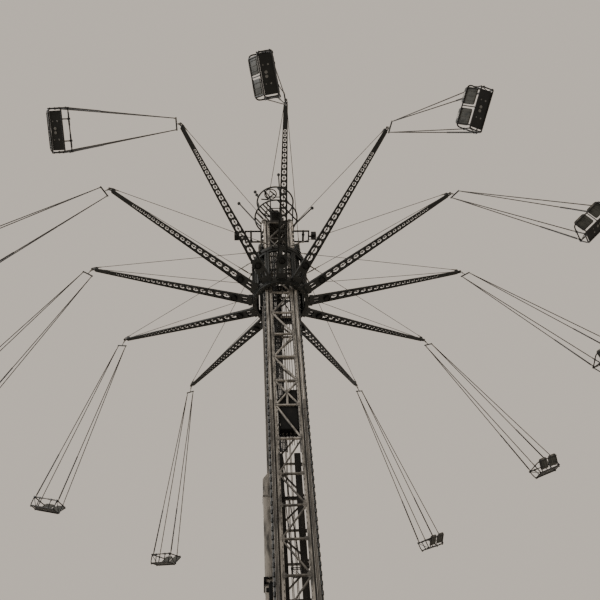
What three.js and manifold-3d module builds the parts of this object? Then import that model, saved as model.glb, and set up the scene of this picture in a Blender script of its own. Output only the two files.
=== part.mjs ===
// Tower swing ride: a square lattice mast, a carriage that climbs it, a star of twelve
// arms that turns on the carriage, and a double chair hung on cables from each arm tip.
// Units are millimetres, +Z is up, and the origin is the middle of the base plate's underside.
import * as THREE from 'three';
import { mergeVertices } from 'three/addons/utils/BufferGeometryUtils.js';
import Module from 'manifold-3d';

const wasm = await Module();
wasm.setup();

// Driving dimensions
const TAU = Math.PI * 2;
const SEAT_GAP = 0.3; // clearance between touching pieces
const ARM_COUNT = 12;
const STAR_TURN = THREE.MathUtils.degToRad(1.1); // star's angle on the mast in the rest pose
const ARM_RADIUS = 6000; // mast axis to chair pivot
const TIP_HEIGHT = 24400; // pivots above the ground with the carriage up

// Mast
const MAST_HALF = 525;
const CHORD_LEG = 130;
const CHORD_WALL = 60;
const CHORD_CHAMFER = 45;
const CORNER_RADIUS = Math.hypot(MAST_HALF, MAST_HALF - CHORD_CHAMFER);
const BEVEL_RADIUS = (MAST_HALF - CHORD_CHAMFER / 2) * Math.SQRT2;
const PANEL_DEPTH = 50;
const PANEL_INSET = 20;
const FRONT_OPENING = 275; // half width between a side's edge strips
const BACK_OPENING = 365; // the back side's strips are narrow
const HORIZONTAL_WIDTH = 70;
const DIAGONAL_WIDTH = 60;
const FIRST_LINE = 350; // lowest horizontal's centre
const LOWER_BAY = 945;
const LOWER_BAY_COUNT = 16;
const JOINT_BAYS = [1140, 1180, 930]; // the mast's joint, whose last bay has crossed bracing
const UPPER_BAY = 970;
const UPPER_BAY_COUNT = 8;
const BAYS = [
  ...Array(LOWER_BAY_COUNT).fill(LOWER_BAY), ...JOINT_BAYS, ...Array(UPPER_BAY_COUNT).fill(UPPER_BAY),
];
const CROSS_BAY = LOWER_BAY_COUNT + JOINT_BAYS.length - 1;
const MAST_TOP = FIRST_LINE + BAYS.reduce((sum, bay) => sum + bay, 0) + HORIZONTAL_WIDTH / 2;
const GUIDE_INNER = 148; // hoist guides inside the back side, up to the junction box
const GUIDE_OUTER = 314;
const GUIDE_DEPTH = 80;
const GUIDE_TOP = 16900;
const GUIDE_TIES = [1, 6, 11, 16]; // horizontals behind which a tie joins the guides

// Base
const PLATE_HALF = 750;
const PLATE_THICK = 40;
const OUTRIGGER_REACH = 2900;
const OUTRIGGER_WIDTH = 260;
const OUTRIGGER_HEIGHT = 320;
const FOOT_HALF = 300;
const BRACE_TOP = 2300;
const BRACE_RADIUS = 60;

// Carriage and star hub
const CARRIAGE_INNER = 762;
const CARRIAGE_OUTER = 786;
const CARRIAGE_LOW = -1750; // from the tips' plane
const CARRIAGE_HIGH = 180;
const CARRIAGE_RING_HEIGHT = 160;
const PLATE_AT = 425; // guide plates' middles, across each side of the mast
const PLATE_REACH = 638;
const SHELF_OUTER = 868;
const HUB_INNER = 800;
const HUB_OUTER = 885;
const HUB_WALL_OUTER = 860;
const HUB_LOW = -1690;
const HUB_HIGH = 170;
const HUB_RING_HEIGHT = 150;
const HUB_WINDOW_HALF = 145;
const HUB_WINDOW_LOW = -1460;
const HUB_WINDOW_HIGH = -80;
const RING_SIDES = 24;

// Arm girder
const ROOT_RADIUS = 892;
const ROOT_DROP = 1560; // line from the hub to the pivots, below the tips' plane at the hub
const GIRDER_DROP = 17; // girder's middle below that line
const GIRDER_END_RADIUS = 5900;
const ROOT_HALF_WIDTH = 158;
const TIP_HALF_WIDTH = 57;
const ROOT_HALF_DEPTH = 40;
const TIP_HALF_DEPTH = 14;
const WINDOW_COUNT = 9; // beyond them the lamps fill the cells
const FIRST_WINDOW = 1690; // from the mast's axis
const WINDOW_PITCH = 258; // each pitch is a little shorter than the one before
const PITCH_SHRINK = 0.96;
const WINDOW_LENGTH_SHARE = 0.37; // half length in pitches
const WINDOW_WIDTH_SHARE = 0.61; // in girder widths
const WINDOW_FLAT_SHARE = 0.55; // straight part of the window's sides
const SLOT_FROM = 1040;
const SLOT_TO = 1200;
const SLOT_INNER = 18;
const DISC_RADIUS_AT = 1434;
const DISC_RADIUS = 105;
const ARM_SLOPE = Math.atan2(ROOT_DROP, ARM_RADIUS - ROOT_RADIUS);

// Stays
const STAY_RADIUS = 9;
const LUG_RADIUS_AT = 916;
const LUG_ANGLE = Math.PI / 4; // from the arm to the lug that its stay reaches
const LUG_HEIGHT = 95;
const STAY_SPLIT = 32; // half the height between a lug's two stays
const LUG_CLEAR = 22.6; // stay's end short of the lug's middle plane

// Hanger and chair: each one's trail behind the radial plane, swing outward and twist, in degrees
const POSES = [
  [16.5, 31.8, -8], [17.4, 31.3, -14.3], [13.2, 33.2, -22.4], [14.8, 31.5, -5],
  [16.3, 28.0, 12.6], [17.8, 28.4, 4.9], [16.0, 30.0, 8], [15.0, 32.0, 12],
  [14.6, 33.3, 20.5], [14.4, 31.0, -12.9], [13.1, 32.5, -12.0], [16.1, 32.4, -3.4],
].map((pose) => pose.map(THREE.MathUtils.degToRad));
const PIN_RADIUS = 14.7;
const BORE_RADIUS = 16.3;
const EYE_RADIUS = 34;
const EYE_THICK = 40;
const LINK_LENGTH = 240;
const SPREADER_HALF = 160;
const SPREADER_RADIUS = 21;
const CABLE_RADIUS = 8.5;
const SLEEVE_RADIUS = 20;
const SLEEVE_LENGTH = 1500;
const SEAT_DROP = 6207; // pivot to seat pan
const SIDE_AT = 480; // side frames' middles, across from the chair's middle
const TUBE = 34;
const FRONT_TOP = new THREE.Vector2(240, 265); // forward, up from the pan
const REAR_TOP = new THREE.Vector2(-280, 217);
const REAR_LOW = new THREE.Vector2(-66, -38);
const FRONT_LOW = new THREE.Vector2(240, -10);
const FRAME_CORNERS = [FRONT_TOP, REAR_TOP, REAR_LOW, FRONT_LOW];
const FRAME_BEND = 45;
const FRONT_ANCHOR = 190; // forward places of the cables' ends on the armrest
const REAR_ANCHOR = -71.5;
const CABLE_TIP_GAP = 2;
const SHELL_INNER = 45;
const SHELL_OUTER = 430;
const LAP_POST_AT = 240;

const DARK_STEEL = { color: '#26241f', roughness: 0.55, metalness: 0.4 };
const MAST_STEEL = { color: '#7b7369', roughness: 0.6, metalness: 0.35 };
const PALE_STEEL = { color: '#b3aaa0', roughness: 0.5, metalness: 0.3 };
const ROPE_STEEL = { color: '#4a443d', roughness: 0.5, metalness: 0.6 };
const SEAT_PLASTIC = { color: '#1f2020', roughness: 0.45, metalness: 0 };

const root = new THREE.Group();

// Solids and booleans
function placed(geometry, matrix) {
  return geometry.clone().applyMatrix4(matrix);
}

function toSolid(geometry) {
  const bare = geometry.clone();
  bare.deleteAttribute('normal');
  bare.deleteAttribute('uv');
  const merged = mergeVertices(bare.index ? bare.toNonIndexed() : bare, 0.001);
  return new wasm.Manifold(new wasm.Mesh({
    numProp: 3,
    vertProperties: new Float32Array(merged.attributes.position.array),
    triVerts: new Uint32Array(merged.index.array),
  }));
}

function toGeometry(solid) {
  const mesh = solid.getMesh();
  const geometry = new THREE.BufferGeometry();
  geometry.setAttribute('position', new THREE.BufferAttribute(new Float32Array(mesh.vertProperties), 3));
  geometry.setIndex(new THREE.BufferAttribute(new Uint32Array(mesh.triVerts), 1));
  const flat = geometry.toNonIndexed();
  flat.computeVertexNormals();
  return flat;
}

function fused(geometries) {
  let solid = toSolid(geometries[0]);
  for (const geometry of geometries.slice(1)) {
    solid = solid.add(toSolid(geometry));
  }
  return toGeometry(solid);
}

function cut(geometry, cutters) {
  let solid = toSolid(geometry);
  for (const cutter of cutters) {
    solid = solid.subtract(toSolid(cutter));
  }
  return toGeometry(solid);
}

function box(x0, x1, y0, y1, z0, z1) {
  const geometry = new THREE.BoxGeometry(x1 - x0, y1 - y0, z1 - z0);
  geometry.translate((x0 + x1) / 2, (y0 + y1) / 2, (z0 + z1) / 2);
  return geometry;
}

// A round bar between two points
function bar(from, to, radius, sides, endRadius = radius) {
  const along = to.clone().sub(from);
  const geometry = new THREE.CylinderGeometry(endRadius, radius, along.length(), sides);
  geometry.translate(0, along.length() / 2, 0);
  const turn = new THREE.Quaternion().setFromUnitVectors(new THREE.Vector3(0, 1, 0), along.normalize());
  geometry.applyQuaternion(turn);
  geometry.translate(from.x, from.y, from.z);
  return geometry;
}

// A solid turned about Z from a profile of radii and heights that closes on itself
function turned(profile, sides = RING_SIDES) {
  const geometry = new THREE.LatheGeometry(outline([...profile, profile[0]]), sides);
  geometry.rotateX(Math.PI / 2);
  return geometry;
}

function ring(inner, outer, low, high, sides = RING_SIDES) {
  return turned([[inner, low], [outer, low], [outer, high], [inner, high]], sides);
}

function hoop(radius, half, height, sides = RING_SIDES) {
  return ring(radius - half, radius + half, height - half, height + half, sides);
}

function disc(radius, low, high, sides) {
  const geometry = new THREE.CylinderGeometry(radius, radius, high - low, sides);
  geometry.rotateX(Math.PI / 2);
  geometry.translate(0, 0, (low + high) / 2);
  return geometry;
}

function outline(points) {
  return points.map(([x, y]) => new THREE.Vector2(x, y));
}

// A prism standing on Z, half above and half below zero
function upright(points, height) {
  const shape = new THREE.Shape(outline(points));
  const geometry = new THREE.ExtrudeGeometry(shape, { depth: height, bevelEnabled: false });
  geometry.translate(0, 0, -height / 2);
  return geometry;
}

function add(parent, name, geometry, finish) {
  const mesh = new THREE.Mesh(geometry, new THREE.MeshStandardMaterial(finish));
  mesh.name = name;
  parent.add(mesh);
  return mesh;
}

function group(parent, height = 0, turn = 0) {
  const made = new THREE.Group();
  made.position.z = height;
  made.rotation.z = turn;
  parent.add(made);
  return made;
}

function numbered(name, index) {
  return `${name}_${String(index + 1).padStart(2, '0')}`;
}

// Base frame: a bolted plate, four outriggers with feet, and knee braces to the mast
function baseFrame() {
  const pieces = [box(-PLATE_HALF, PLATE_HALF, -PLATE_HALF, PLATE_HALF, 0, PLATE_THICK)];
  for (let corner = 0; corner < 4; corner += 1) {
    const turn = new THREE.Matrix4().makeRotationZ(Math.PI / 4 + (corner * Math.PI) / 2);
    const beam = box(
      CORNER_RADIUS + 5, OUTRIGGER_REACH, -OUTRIGGER_WIDTH / 2, OUTRIGGER_WIDTH / 2, 10, OUTRIGGER_HEIGHT);
    const foot = box(
      OUTRIGGER_REACH - FOOT_HALF, OUTRIGGER_REACH + FOOT_HALF, -FOOT_HALF, FOOT_HALF, 0, PLATE_THICK);
    const brace = bar(
      new THREE.Vector3(OUTRIGGER_REACH - 500, 0, OUTRIGGER_HEIGHT - 20),
      new THREE.Vector3(CORNER_RADIUS + 60, 0, BRACE_TOP), BRACE_RADIUS, 6);
    const pad = box(BEVEL_RADIUS + SEAT_GAP, BEVEL_RADIUS + 80, -30, 30, BRACE_TOP - 200, BRACE_TOP + 150);
    for (const piece of [beam, foot, brace, pad]) {
      pieces.push(placed(piece, turn));
    }
  }
  return fused(pieces);
}

// Mast chord: an angle section with its outer corner bevelled, in the +X +Y corner
function mastChord() {
  const far = MAST_HALF;
  const wall = far - CHORD_WALL;
  const leg = far - CHORD_LEG;
  const shape = new THREE.Shape(outline([
    [leg, wall], [wall, wall], [wall, leg], [far, leg],
    [far, far - CHORD_CHAMFER], [far - CHORD_CHAMFER, far], [leg, far],
  ]));
  const depth = MAST_TOP - PLATE_THICK - SEAT_GAP;
  const geometry = new THREE.ExtrudeGeometry(shape, { depth, bevelEnabled: false });
  geometry.translate(0, 0, PLATE_THICK + SEAT_GAP);
  return geometry;
}

// The openings of one bay: two triangles beside a diagonal, or six round a cross and its post
function bayHoles(low, high, half, kind) {
  const slope = Math.atan2(high - low, half * 2);
  const rise = DIAGONAL_WIDTH / 2 / Math.cos(slope);
  const run = DIAGONAL_WIDTH / 2 / Math.sin(slope);
  const middle = (low + high) / 2;
  const post = DIAGONAL_WIDTH / 2;
  if (kind === 'cross') {
    const apex = rise + post * Math.tan(slope);
    return [
      [[-half, low + rise], [-half, high - rise], [-run, middle]],
      [[half, low + rise], [half, high - rise], [run, middle]],
      [[-half + run, high], [-post, high], [-post, middle + apex]],
      [[half - run, high], [post, high], [post, middle + apex]],
      [[-half + run, low], [-post, low], [-post, middle - apex]],
      [[half - run, low], [post, low], [post, middle - apex]],
    ];
  }
  const mirror = kind === 'falling' ? -1 : 1;
  return [
    [[-half * mirror, low + rise], [-half * mirror, high], [(half - run) * mirror, high]],
    [[half * mirror, high - rise], [half * mirror, low], [(run - half) * mirror, low]],
  ];
}

// One flat side of the mast: edge strips, horizontals and a zigzag of diagonals
function mastSide(open) {
  const half = MAST_HALF - CHORD_LEG - SEAT_GAP;
  const low = FIRST_LINE - HORIZONTAL_WIDTH / 2;
  const front = -MAST_HALF + PANEL_INSET;
  const holes = [];
  let line = FIRST_LINE;
  for (const [bay, height] of BAYS.entries()) {
    const bottom = line + HORIZONTAL_WIDTH / 2;
    const top = bottom + height - HORIZONTAL_WIDTH;
    line += height;
    let kind = bay % 2 === 0 ? 'rising' : 'falling';
    if (bay === CROSS_BAY) {
      kind = 'cross';
    }
    for (const hole of bayHoles(bottom, top, open, kind)) {
      const prism = upright(hole, PANEL_DEPTH + 20);
      prism.rotateX(Math.PI / 2);
      prism.translate(0, front + PANEL_DEPTH / 2, 0);
      holes.push(prism);
    }
  }
  return cut(box(-half, half, front, front + PANEL_DEPTH, low, MAST_TOP), holes);
}

// Two box guides up the inside of the back side, joined by ties
function hoistGuides() {
  const outer = MAST_HALF - PANEL_INSET - PANEL_DEPTH - SEAT_GAP;
  const inner = outer - GUIDE_DEPTH;
  const pieces = [];
  for (const sign of [-1, 1]) {
    const [near, far] = [sign * GUIDE_INNER, sign * GUIDE_OUTER].sort((a, b) => a - b);
    pieces.push(box(near, far, inner, outer, PLATE_THICK + SEAT_GAP, GUIDE_TOP));
  }
  for (const line of GUIDE_TIES) {
    const height = FIRST_LINE + line * LOWER_BAY;
    pieces.push(box(-GUIDE_INNER - 10, GUIDE_INNER + 10, inner + 20, inner + 50, height - 25, height + 25));
  }
  return fused(pieces);
}

function buildMast() {
  add(root, 'base_frame', baseFrame(), DARK_STEEL);
  const chord = mastChord();
  const side = mastSide(FRONT_OPENING);
  const backSide = mastSide(BACK_OPENING);
  const sideNames = ['mast_side_front', 'mast_side_right', 'mast_side_back', 'mast_side_left'];
  for (let corner = 0; corner < 4; corner += 1) {
    const placeAt = group(root, 0, (corner * Math.PI) / 2);
    add(placeAt, numbered('mast_chord', corner), chord, MAST_STEEL);
    const isBack = sideNames[corner] === 'mast_side_back';
    add(placeAt, sideNames[corner], isBack ? backSide : side, MAST_STEEL);
  }
  add(root, 'hoist_guides', hoistGuides(), DARK_STEEL);
}

// Head of the mast: a cap, a round slatted deck under a smaller hoop, sheaves, rods and side brackets
const CAP_TOP = MAST_TOP + SEAT_GAP + 50;
const DOME_HEIGHT = 170; // pale caps over the chords
const DOME_AT = 420;
const DOME_RADIUS = 126;
const DOME_TOP_RADIUS = 63;
const DECK_RADIUS = 742;
const DECK_HEIGHT = 27520;
const HIGH_HOOP_RADIUS = 650;
const HIGH_HOOP_HEIGHT = 28550;
const HOOP_HALF = 20;
const HOOP_SIDES = 14;
const DECK_SLAT_ANGLE = THREE.MathUtils.degToRad(51);
const DECK_SLATS = [-0.5, -0.115, 0.005, 0.13, 0.26, 0.39, 0.56]; // from the axis, in metres
const POST_X = 185;
const POST_Y = 240;
const STRUT_TWIST = THREE.MathUtils.degToRad(-33);
const BALL_RADIUS = 62;

function onCircle(radius, angle, height) {
  return new THREE.Vector3(radius * Math.cos(angle), radius * Math.sin(angle), height);
}

function mastCap() {
  const half = MAST_HALF + 10;
  const pieces = [box(-half, half, -half, half, MAST_TOP + SEAT_GAP, CAP_TOP)];
  for (let corner = 0; corner < 4; corner += 1) {
    const dome = new THREE.CylinderGeometry(DOME_TOP_RADIUS, DOME_RADIUS, DOME_HEIGHT, 6);
    dome.rotateX(Math.PI / 2);
    dome.translate(DOME_AT, DOME_AT, CAP_TOP + DOME_HEIGHT / 2 - 10);
    pieces.push(placed(dome, new THREE.Matrix4().makeRotationZ((corner * Math.PI) / 2)));
  }
  return fused(pieces);
}

// Deck of parallel slats inside its hoop, four posts up through it, and struts to the hoop above
function crownCage() {
  const low = CAP_TOP + SEAT_GAP;
  const pieces = [
    hoop(DECK_RADIUS, HOOP_HALF, DECK_HEIGHT, HOOP_SIDES),
    hoop(HIGH_HOOP_RADIUS, HOOP_HALF, HIGH_HOOP_HEIGHT, HOOP_SIDES),
    box(-POST_X, 120, -POST_Y, POST_Y, DECK_HEIGHT - 15, DECK_HEIGHT + 15),
    box(-POST_X, 100, -130, 130, DECK_HEIGHT, DECK_HEIGHT + 330),
  ];
  const turn = new THREE.Matrix4().makeRotationZ(DECK_SLAT_ANGLE);
  for (const metres of DECK_SLATS) {
    const offset = metres * 1000;
    const reach = Math.sqrt((DECK_RADIUS - 10) ** 2 - offset ** 2);
    pieces.push(placed(
      box(-reach, reach, offset - 12, offset + 12, DECK_HEIGHT - 12, DECK_HEIGHT + 12), turn));
  }
  for (const y of [-POST_Y, POST_Y]) {
    for (const x of [-POST_X, POST_X]) {
      pieces.push(box(x - 20, x + 20, y - 20, y + 20, low, HIGH_HOOP_HEIGHT));
      const outer = onCircle(HIGH_HOOP_RADIUS, Math.atan2(y, x), HIGH_HOOP_HEIGHT);
      pieces.push(bar(new THREE.Vector3(x, y, HIGH_HOOP_HEIGHT - 20), outer, 14, 4));
    }
    pieces.push(box(-POST_X, POST_X, y - 12, y + 12, HIGH_HOOP_HEIGHT - 40, HIGH_HOOP_HEIGHT));
  }
  for (let strut = 0; strut < 4; strut += 1) {
    const angle = THREE.MathUtils.degToRad(218) + (strut * TAU) / 4;
    pieces.push(bar(
      onCircle(DECK_RADIUS, angle, DECK_HEIGHT),
      onCircle(HIGH_HOOP_RADIUS, angle + STRUT_TWIST, HIGH_HOOP_HEIGHT), 18, 4));
  }
  return fused(pieces);
}

// A rod with a ball on its end and a foot plate that stands on the cap
function ballRod(foot, ball, radius) {
  const sphere = new THREE.SphereGeometry(BALL_RADIUS, 8, 6);
  sphere.translate(ball.x, ball.y, ball.z);
  const plate = box(foot.x - 50, foot.x + 50, foot.y - 50, foot.y + 50, foot.z, foot.z + 24);
  return fused([plate, bar(new THREE.Vector3(foot.x, foot.y, foot.z + 12), ball, radius, 6), sphere]);
}

// Sheave pair over which the hoist ropes turn
function headSheaves() {
  const low = CAP_TOP + SEAT_GAP;
  const middle = -40;
  const axle = low + 270;
  const pieces = [box(middle - 130, middle + 140, -150, 150, low, low + 30)];
  for (const x of [-110, 110]) {
    pieces.push(box(middle + x - 12, middle + x + 12, -110, 110, low + 10, low + 350));
  }
  for (const x of [-55, 55]) {
    const wheel = new THREE.CylinderGeometry(210, 210, 46, 14);
    wheel.rotateZ(Math.PI / 2);
    wheel.translate(middle + x, 0, axle);
    pieces.push(wheel);
  }
  const end = new THREE.Vector3(130, 0, 0);
  const centre = new THREE.Vector3(middle, 0, axle);
  pieces.push(bar(centre.clone().sub(end), centre.clone().add(end), 28, 8));
  return fused(pieces);
}

// A small bracket platform on the mast's side: rails, rungs and a lamp box at its end
const PLATFORM_LOW = 26330;
const PLATFORM_HIGH = 26380;
const PLATFORM_HALF = 240;
const PLATFORM_REACH = 1105;
const MOUNT_HALF = 440; // reaches both chords
const RAIL = 45;

function sidePlatform(sign, lampStart) {
  const near = MAST_HALF + SEAT_GAP;
  const low = PLATFORM_LOW;
  const high = PLATFORM_HIGH;
  const half = PLATFORM_HALF;
  const pieces = [
    box(near, PLATFORM_REACH, -half, -half + RAIL, low, high),
    box(near, PLATFORM_REACH, half - RAIL, half, low, high),
    box(near, near + RAIL, -MOUNT_HALF, MOUNT_HALF, low - 60, high + 60),
    box(PLATFORM_REACH - RAIL, PLATFORM_REACH, -half, half, low + 5, high - 5),
    box(860, 925, -half, half, low - 30, high + 20),
    box(PLATFORM_REACH - 10, lampStart + 10, -30, 30, low + 10, high - 10),
    box(lampStart, lampStart + 170, -115, 115, low - 40, high + 110),
  ];
  return placed(fused(pieces), new THREE.Matrix4().makeRotationZ(sign > 0 ? 0 : Math.PI));
}

// Closed cable duct up the mast's left side, with a sloping top
function cableDuct() {
  const near = MAST_HALF - PANEL_INSET + SEAT_GAP;
  const depth = MAST_HALF + 175;
  const low = PLATE_THICK + OUTRIGGER_HEIGHT;
  const high = 15900;
  const shape = new THREE.Shape(outline([[near, low], [depth, low], [depth, high - 300], [near, high]]));
  const geometry = new THREE.ExtrudeGeometry(shape, { depth: 300, bevelEnabled: false });
  geometry.rotateX(Math.PI / 2);
  geometry.rotateZ(Math.PI);
  geometry.translate(0, -150, 0);
  return geometry;
}

// Dark box hung inside the mast behind its front side, below and behind the crossed bay
function junctionBox() {
  const front = -MAST_HALF + PANEL_INSET + PANEL_DEPTH + SEAT_GAP;
  return fused([
    box(-235, 265, front, front + 300, 16960, 18050),
    box(-120, 265, front, front + 260, 18040, 18400),
  ]);
}

function buildCrown() {
  add(root, 'mast_cap', mastCap(), PALE_STEEL);
  add(root, 'crown_cage', crownCage(), DARK_STEEL);
  add(root, 'head_sheaves', headSheaves(), DARK_STEEL);
  const capHeight = CAP_TOP + SEAT_GAP;
  const rods = [
    ['top_rod', new THREE.Vector3(186, -26, capHeight), new THREE.Vector3(186, -26, 30480), 24],
    ['left_rod', new THREE.Vector3(-364, 0, capHeight), new THREE.Vector3(-1311, 0, 28490), 18],
    ['right_rod', new THREE.Vector3(232, 100, capHeight), new THREE.Vector3(1330, 60, 28250), 18],
  ];
  for (const [name, foot, ball, radius] of rods) {
    add(root, name, ballRod(foot, ball, radius), DARK_STEEL);
  }
  add(root, 'side_platform_right', sidePlatform(1, 1170), DARK_STEEL);
  add(root, 'side_platform_left', sidePlatform(-1, 1295), DARK_STEEL);
  add(root, 'cable_duct', cableDuct(), MAST_STEEL);
  add(root, 'junction_box', junctionBox(), DARK_STEEL);
}

// Carriage: two rings joined by guide plates that slide on the chords' faces
function carriageFrame() {
  const lowRing = turned([
    [CARRIAGE_INNER, CARRIAGE_LOW], [SHELF_OUTER, CARRIAGE_LOW], [SHELF_OUTER, HUB_LOW],
    [CARRIAGE_OUTER, HUB_LOW], [CARRIAGE_OUTER, HUB_LOW + CARRIAGE_RING_HEIGHT],
    [CARRIAGE_INNER, HUB_LOW + CARRIAGE_RING_HEIGHT],
  ]);
  const highRing = ring(CARRIAGE_INNER, CARRIAGE_OUTER, CARRIAGE_HIGH - CARRIAGE_RING_HEIGHT, CARRIAGE_HIGH);
  const pieces = [lowRing, highRing];
  for (let side = 0; side < 4; side += 1) {
    const turn = new THREE.Matrix4().makeRotationZ((side * Math.PI) / 2);
    for (const y of [-PLATE_AT, PLATE_AT]) {
      const plate = box(
        MAST_HALF + SEAT_GAP, PLATE_REACH, y - 25, y + 25, CARRIAGE_LOW + 10, CARRIAGE_HIGH - 10);
      pieces.push(placed(plate, turn));
    }
  }
  return fused(pieces);
}

// Slewing motor standing on a bracket at the carriage's top
function slewingMotor() {
  const low = CARRIAGE_HIGH + SEAT_GAP;
  return fused([
    box(CARRIAGE_INNER, CARRIAGE_INNER + 150, -110, 110, low, low + 40),
    placed(disc(75, low + 30, low + 330, 10), new THREE.Matrix4().makeTranslation(CARRIAGE_INNER + 70, 0, 0)),
    box(CARRIAGE_INNER + 10, CARRIAGE_INNER + 140, -60, 60, low + 320, low + 400),
  ]);
}

function buildCarriage() {
  const carriage = group(root, TIP_HEIGHT);
  add(carriage, 'carriage_frame', carriageFrame(), DARK_STEEL);
  const motor = slewingMotor();
  for (const [index, degrees] of [225, 315].entries()) {
    const placeAt = group(carriage, 0, THREE.MathUtils.degToRad(degrees));
    add(placeAt, numbered('slewing_motor', index), motor, DARK_STEEL);
  }
}

// Star hub: a drum with a ring at each end, and a tall window and a lug between each two arms
function starHub() {
  const lowTop = HUB_LOW + HUB_RING_HEIGHT;
  const highFoot = HUB_HIGH - HUB_RING_HEIGHT;
  const drum = turned([
    [HUB_INNER, HUB_LOW + SEAT_GAP], [HUB_OUTER, HUB_LOW + SEAT_GAP], [HUB_OUTER, lowTop],
    [HUB_WALL_OUTER, lowTop], [HUB_WALL_OUTER, highFoot], [HUB_OUTER, highFoot],
    [HUB_OUTER, HUB_HIGH], [HUB_INNER, HUB_HIGH],
  ]);
  const windows = [];
  const lugs = [];
  for (let arm = 0; arm < ARM_COUNT; arm += 1) {
    const turn = new THREE.Matrix4().makeRotationZ(((arm + 0.5) * TAU) / ARM_COUNT);
    const lug = box(HUB_OUTER - 10, LUG_RADIUS_AT + 40, -12, 12, LUG_HEIGHT - 75, LUG_HEIGHT + 70);
    lugs.push(placed(lug, turn));
    const half = HUB_WINDOW_HALF;
    windows.push(placed(box(HUB_INNER - 60, HUB_OUTER, -half, half, HUB_WINDOW_LOW, HUB_WINDOW_HIGH), turn));
  }
  return fused([cut(drum, windows), ...lugs]);
}

// A girder's half width or half depth at a share of its length
function tapered(rootValue, tipValue, share) {
  return rootValue + (tipValue - rootValue) * share;
}

// Length along the girder of a place given by its distance from the mast's axis
function alongGirder(radiusAt) {
  return (radiusAt - ROOT_RADIUS) / Math.cos(ARM_SLOPE);
}

// The girder's two slots at its root, and its row of rounded windows
function girderHoles(length) {
  const halfAt = (x) => tapered(ROOT_HALF_WIDTH, TIP_HALF_WIDTH, x / length);
  const holes = [];
  const [from, to] = [alongGirder(SLOT_FROM), alongGirder(SLOT_TO)];
  for (const side of [-1, 1]) {
    const inner = side * SLOT_INNER;
    const outer = side * halfAt(from) * WINDOW_WIDTH_SHARE;
    holes.push(upright([[from, inner], [to, inner], [to, outer], [from, outer]], ROOT_HALF_DEPTH * 4));
  }
  let radiusAt = FIRST_WINDOW;
  let pitch = WINDOW_PITCH;
  for (let index = 0; index < WINDOW_COUNT; index += 1) {
    const x = alongGirder(radiusAt);
    const reach = pitch * WINDOW_LENGTH_SHARE;
    const wide = halfAt(x) * WINDOW_WIDTH_SHARE;
    const flat = reach * WINDOW_FLAT_SHARE;
    const nearSide = [[x - reach, 0], [x - flat, -wide], [x + flat, -wide]];
    const farSide = [[x + reach, 0], [x + flat, wide], [x - flat, wide]];
    holes.push(upright([...nearSide, ...farSide], ROOT_HALF_DEPTH * 4));
    radiusAt += pitch;
    pitch *= PITCH_SHRINK;
  }
  return holes;
}

// Flat tapered girder with one row of windows
function girder() {
  const length = alongGirder(GIRDER_END_RADIUS);
  const start = -60;
  const startHalf = tapered(ROOT_HALF_WIDTH, TIP_HALF_WIDTH, start / length);
  const body = upright([
    [start, -startHalf], [length, -TIP_HALF_WIDTH], [length, TIP_HALF_WIDTH], [start, startHalf],
  ], 2);
  const position = body.attributes.position;
  for (let index = 0; index < position.count; index += 1) {
    const half = tapered(ROOT_HALF_DEPTH, TIP_HALF_DEPTH, position.getX(index) / length);
    position.setZ(index, position.getZ(index) * half);
  }
  const geometry = cut(body, girderHoles(length));
  geometry.rotateY(-ARM_SLOPE);
  geometry.translate(ROOT_RADIUS, 0, -ROOT_DROP - GIRDER_DROP);
  return geometry;
}

// Stay from the arm's tip to a lug on the hub's upper ring
function stay(side) {
  const tip = new THREE.Vector3(ARM_RADIUS - 110, side * 30, 45);
  const angle = side * LUG_ANGLE;
  const lug = onCircle(LUG_RADIUS_AT, angle, LUG_HEIGHT + side * STAY_SPLIT);
  const along = lug.clone().sub(tip).normalize();
  return bar(tip, lug.clone().addScaledVector(along, -LUG_CLEAR), STAY_RADIUS, 4);
}

// Fork on the girder's end that carries the pivot pin, turned to the chair's trail
function tipFork(trail) {
  const head = box(-190, -60, -56, 56, -62, 62);
  const cheeks = [-1, 1].map((side) => {
    const inside = side * (EYE_THICK / 2 + 3);
    const outside = side * (EYE_THICK / 2 + 17);
    return box(-100, 34, Math.min(inside, outside), Math.max(inside, outside), -34, 34);
  });
  const pin = new THREE.CylinderGeometry(PIN_RADIUS, PIN_RADIUS, EYE_THICK + 50, 8);
  const turn = new THREE.Matrix4().makeRotationZ(-trail);
  const shift = new THREE.Matrix4().makeTranslation(ARM_RADIUS, 0, 0);
  return [placed(head, shift), ...[...cheeks, pin].map((piece) => placed(placed(piece, turn), shift))];
}

// Everything of an arm but its fork
function armBody() {
  const discDrop = (ARM_RADIUS - DISC_RADIUS_AT) * Math.tan(ARM_SLOPE);
  const lamp = disc(DISC_RADIUS, -95, -40, 8);
  lamp.rotateY(-ARM_SLOPE);
  lamp.translate(DISC_RADIUS_AT, 0, -discDrop);
  const hubFace = disc(HUB_OUTER + SEAT_GAP, HUB_LOW - 100, HUB_HIGH, RING_SIDES);
  const trimmed = cut(girder(), [hubFace]);
  return fused([trimmed, lamp, stay(1), stay(-1)]);
}

// The tube face's middle that a cable meets, from the pivot with the chair hanging straight
function cableTarget(side, forward) {
  const share = (FRONT_TOP.x - forward) / (FRONT_TOP.x - REAR_TOP.x);
  const up = FRONT_TOP.y + (REAR_TOP.y - FRONT_TOP.y) * share;
  const tilt = Math.atan2(FRONT_TOP.y - REAR_TOP.y, FRONT_TOP.x - REAR_TOP.x);
  const face = up + TUBE / 2 / Math.cos(tilt);
  return new THREE.Vector3(side * SIDE_AT, forward, face - SEAT_DROP);
}

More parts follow.
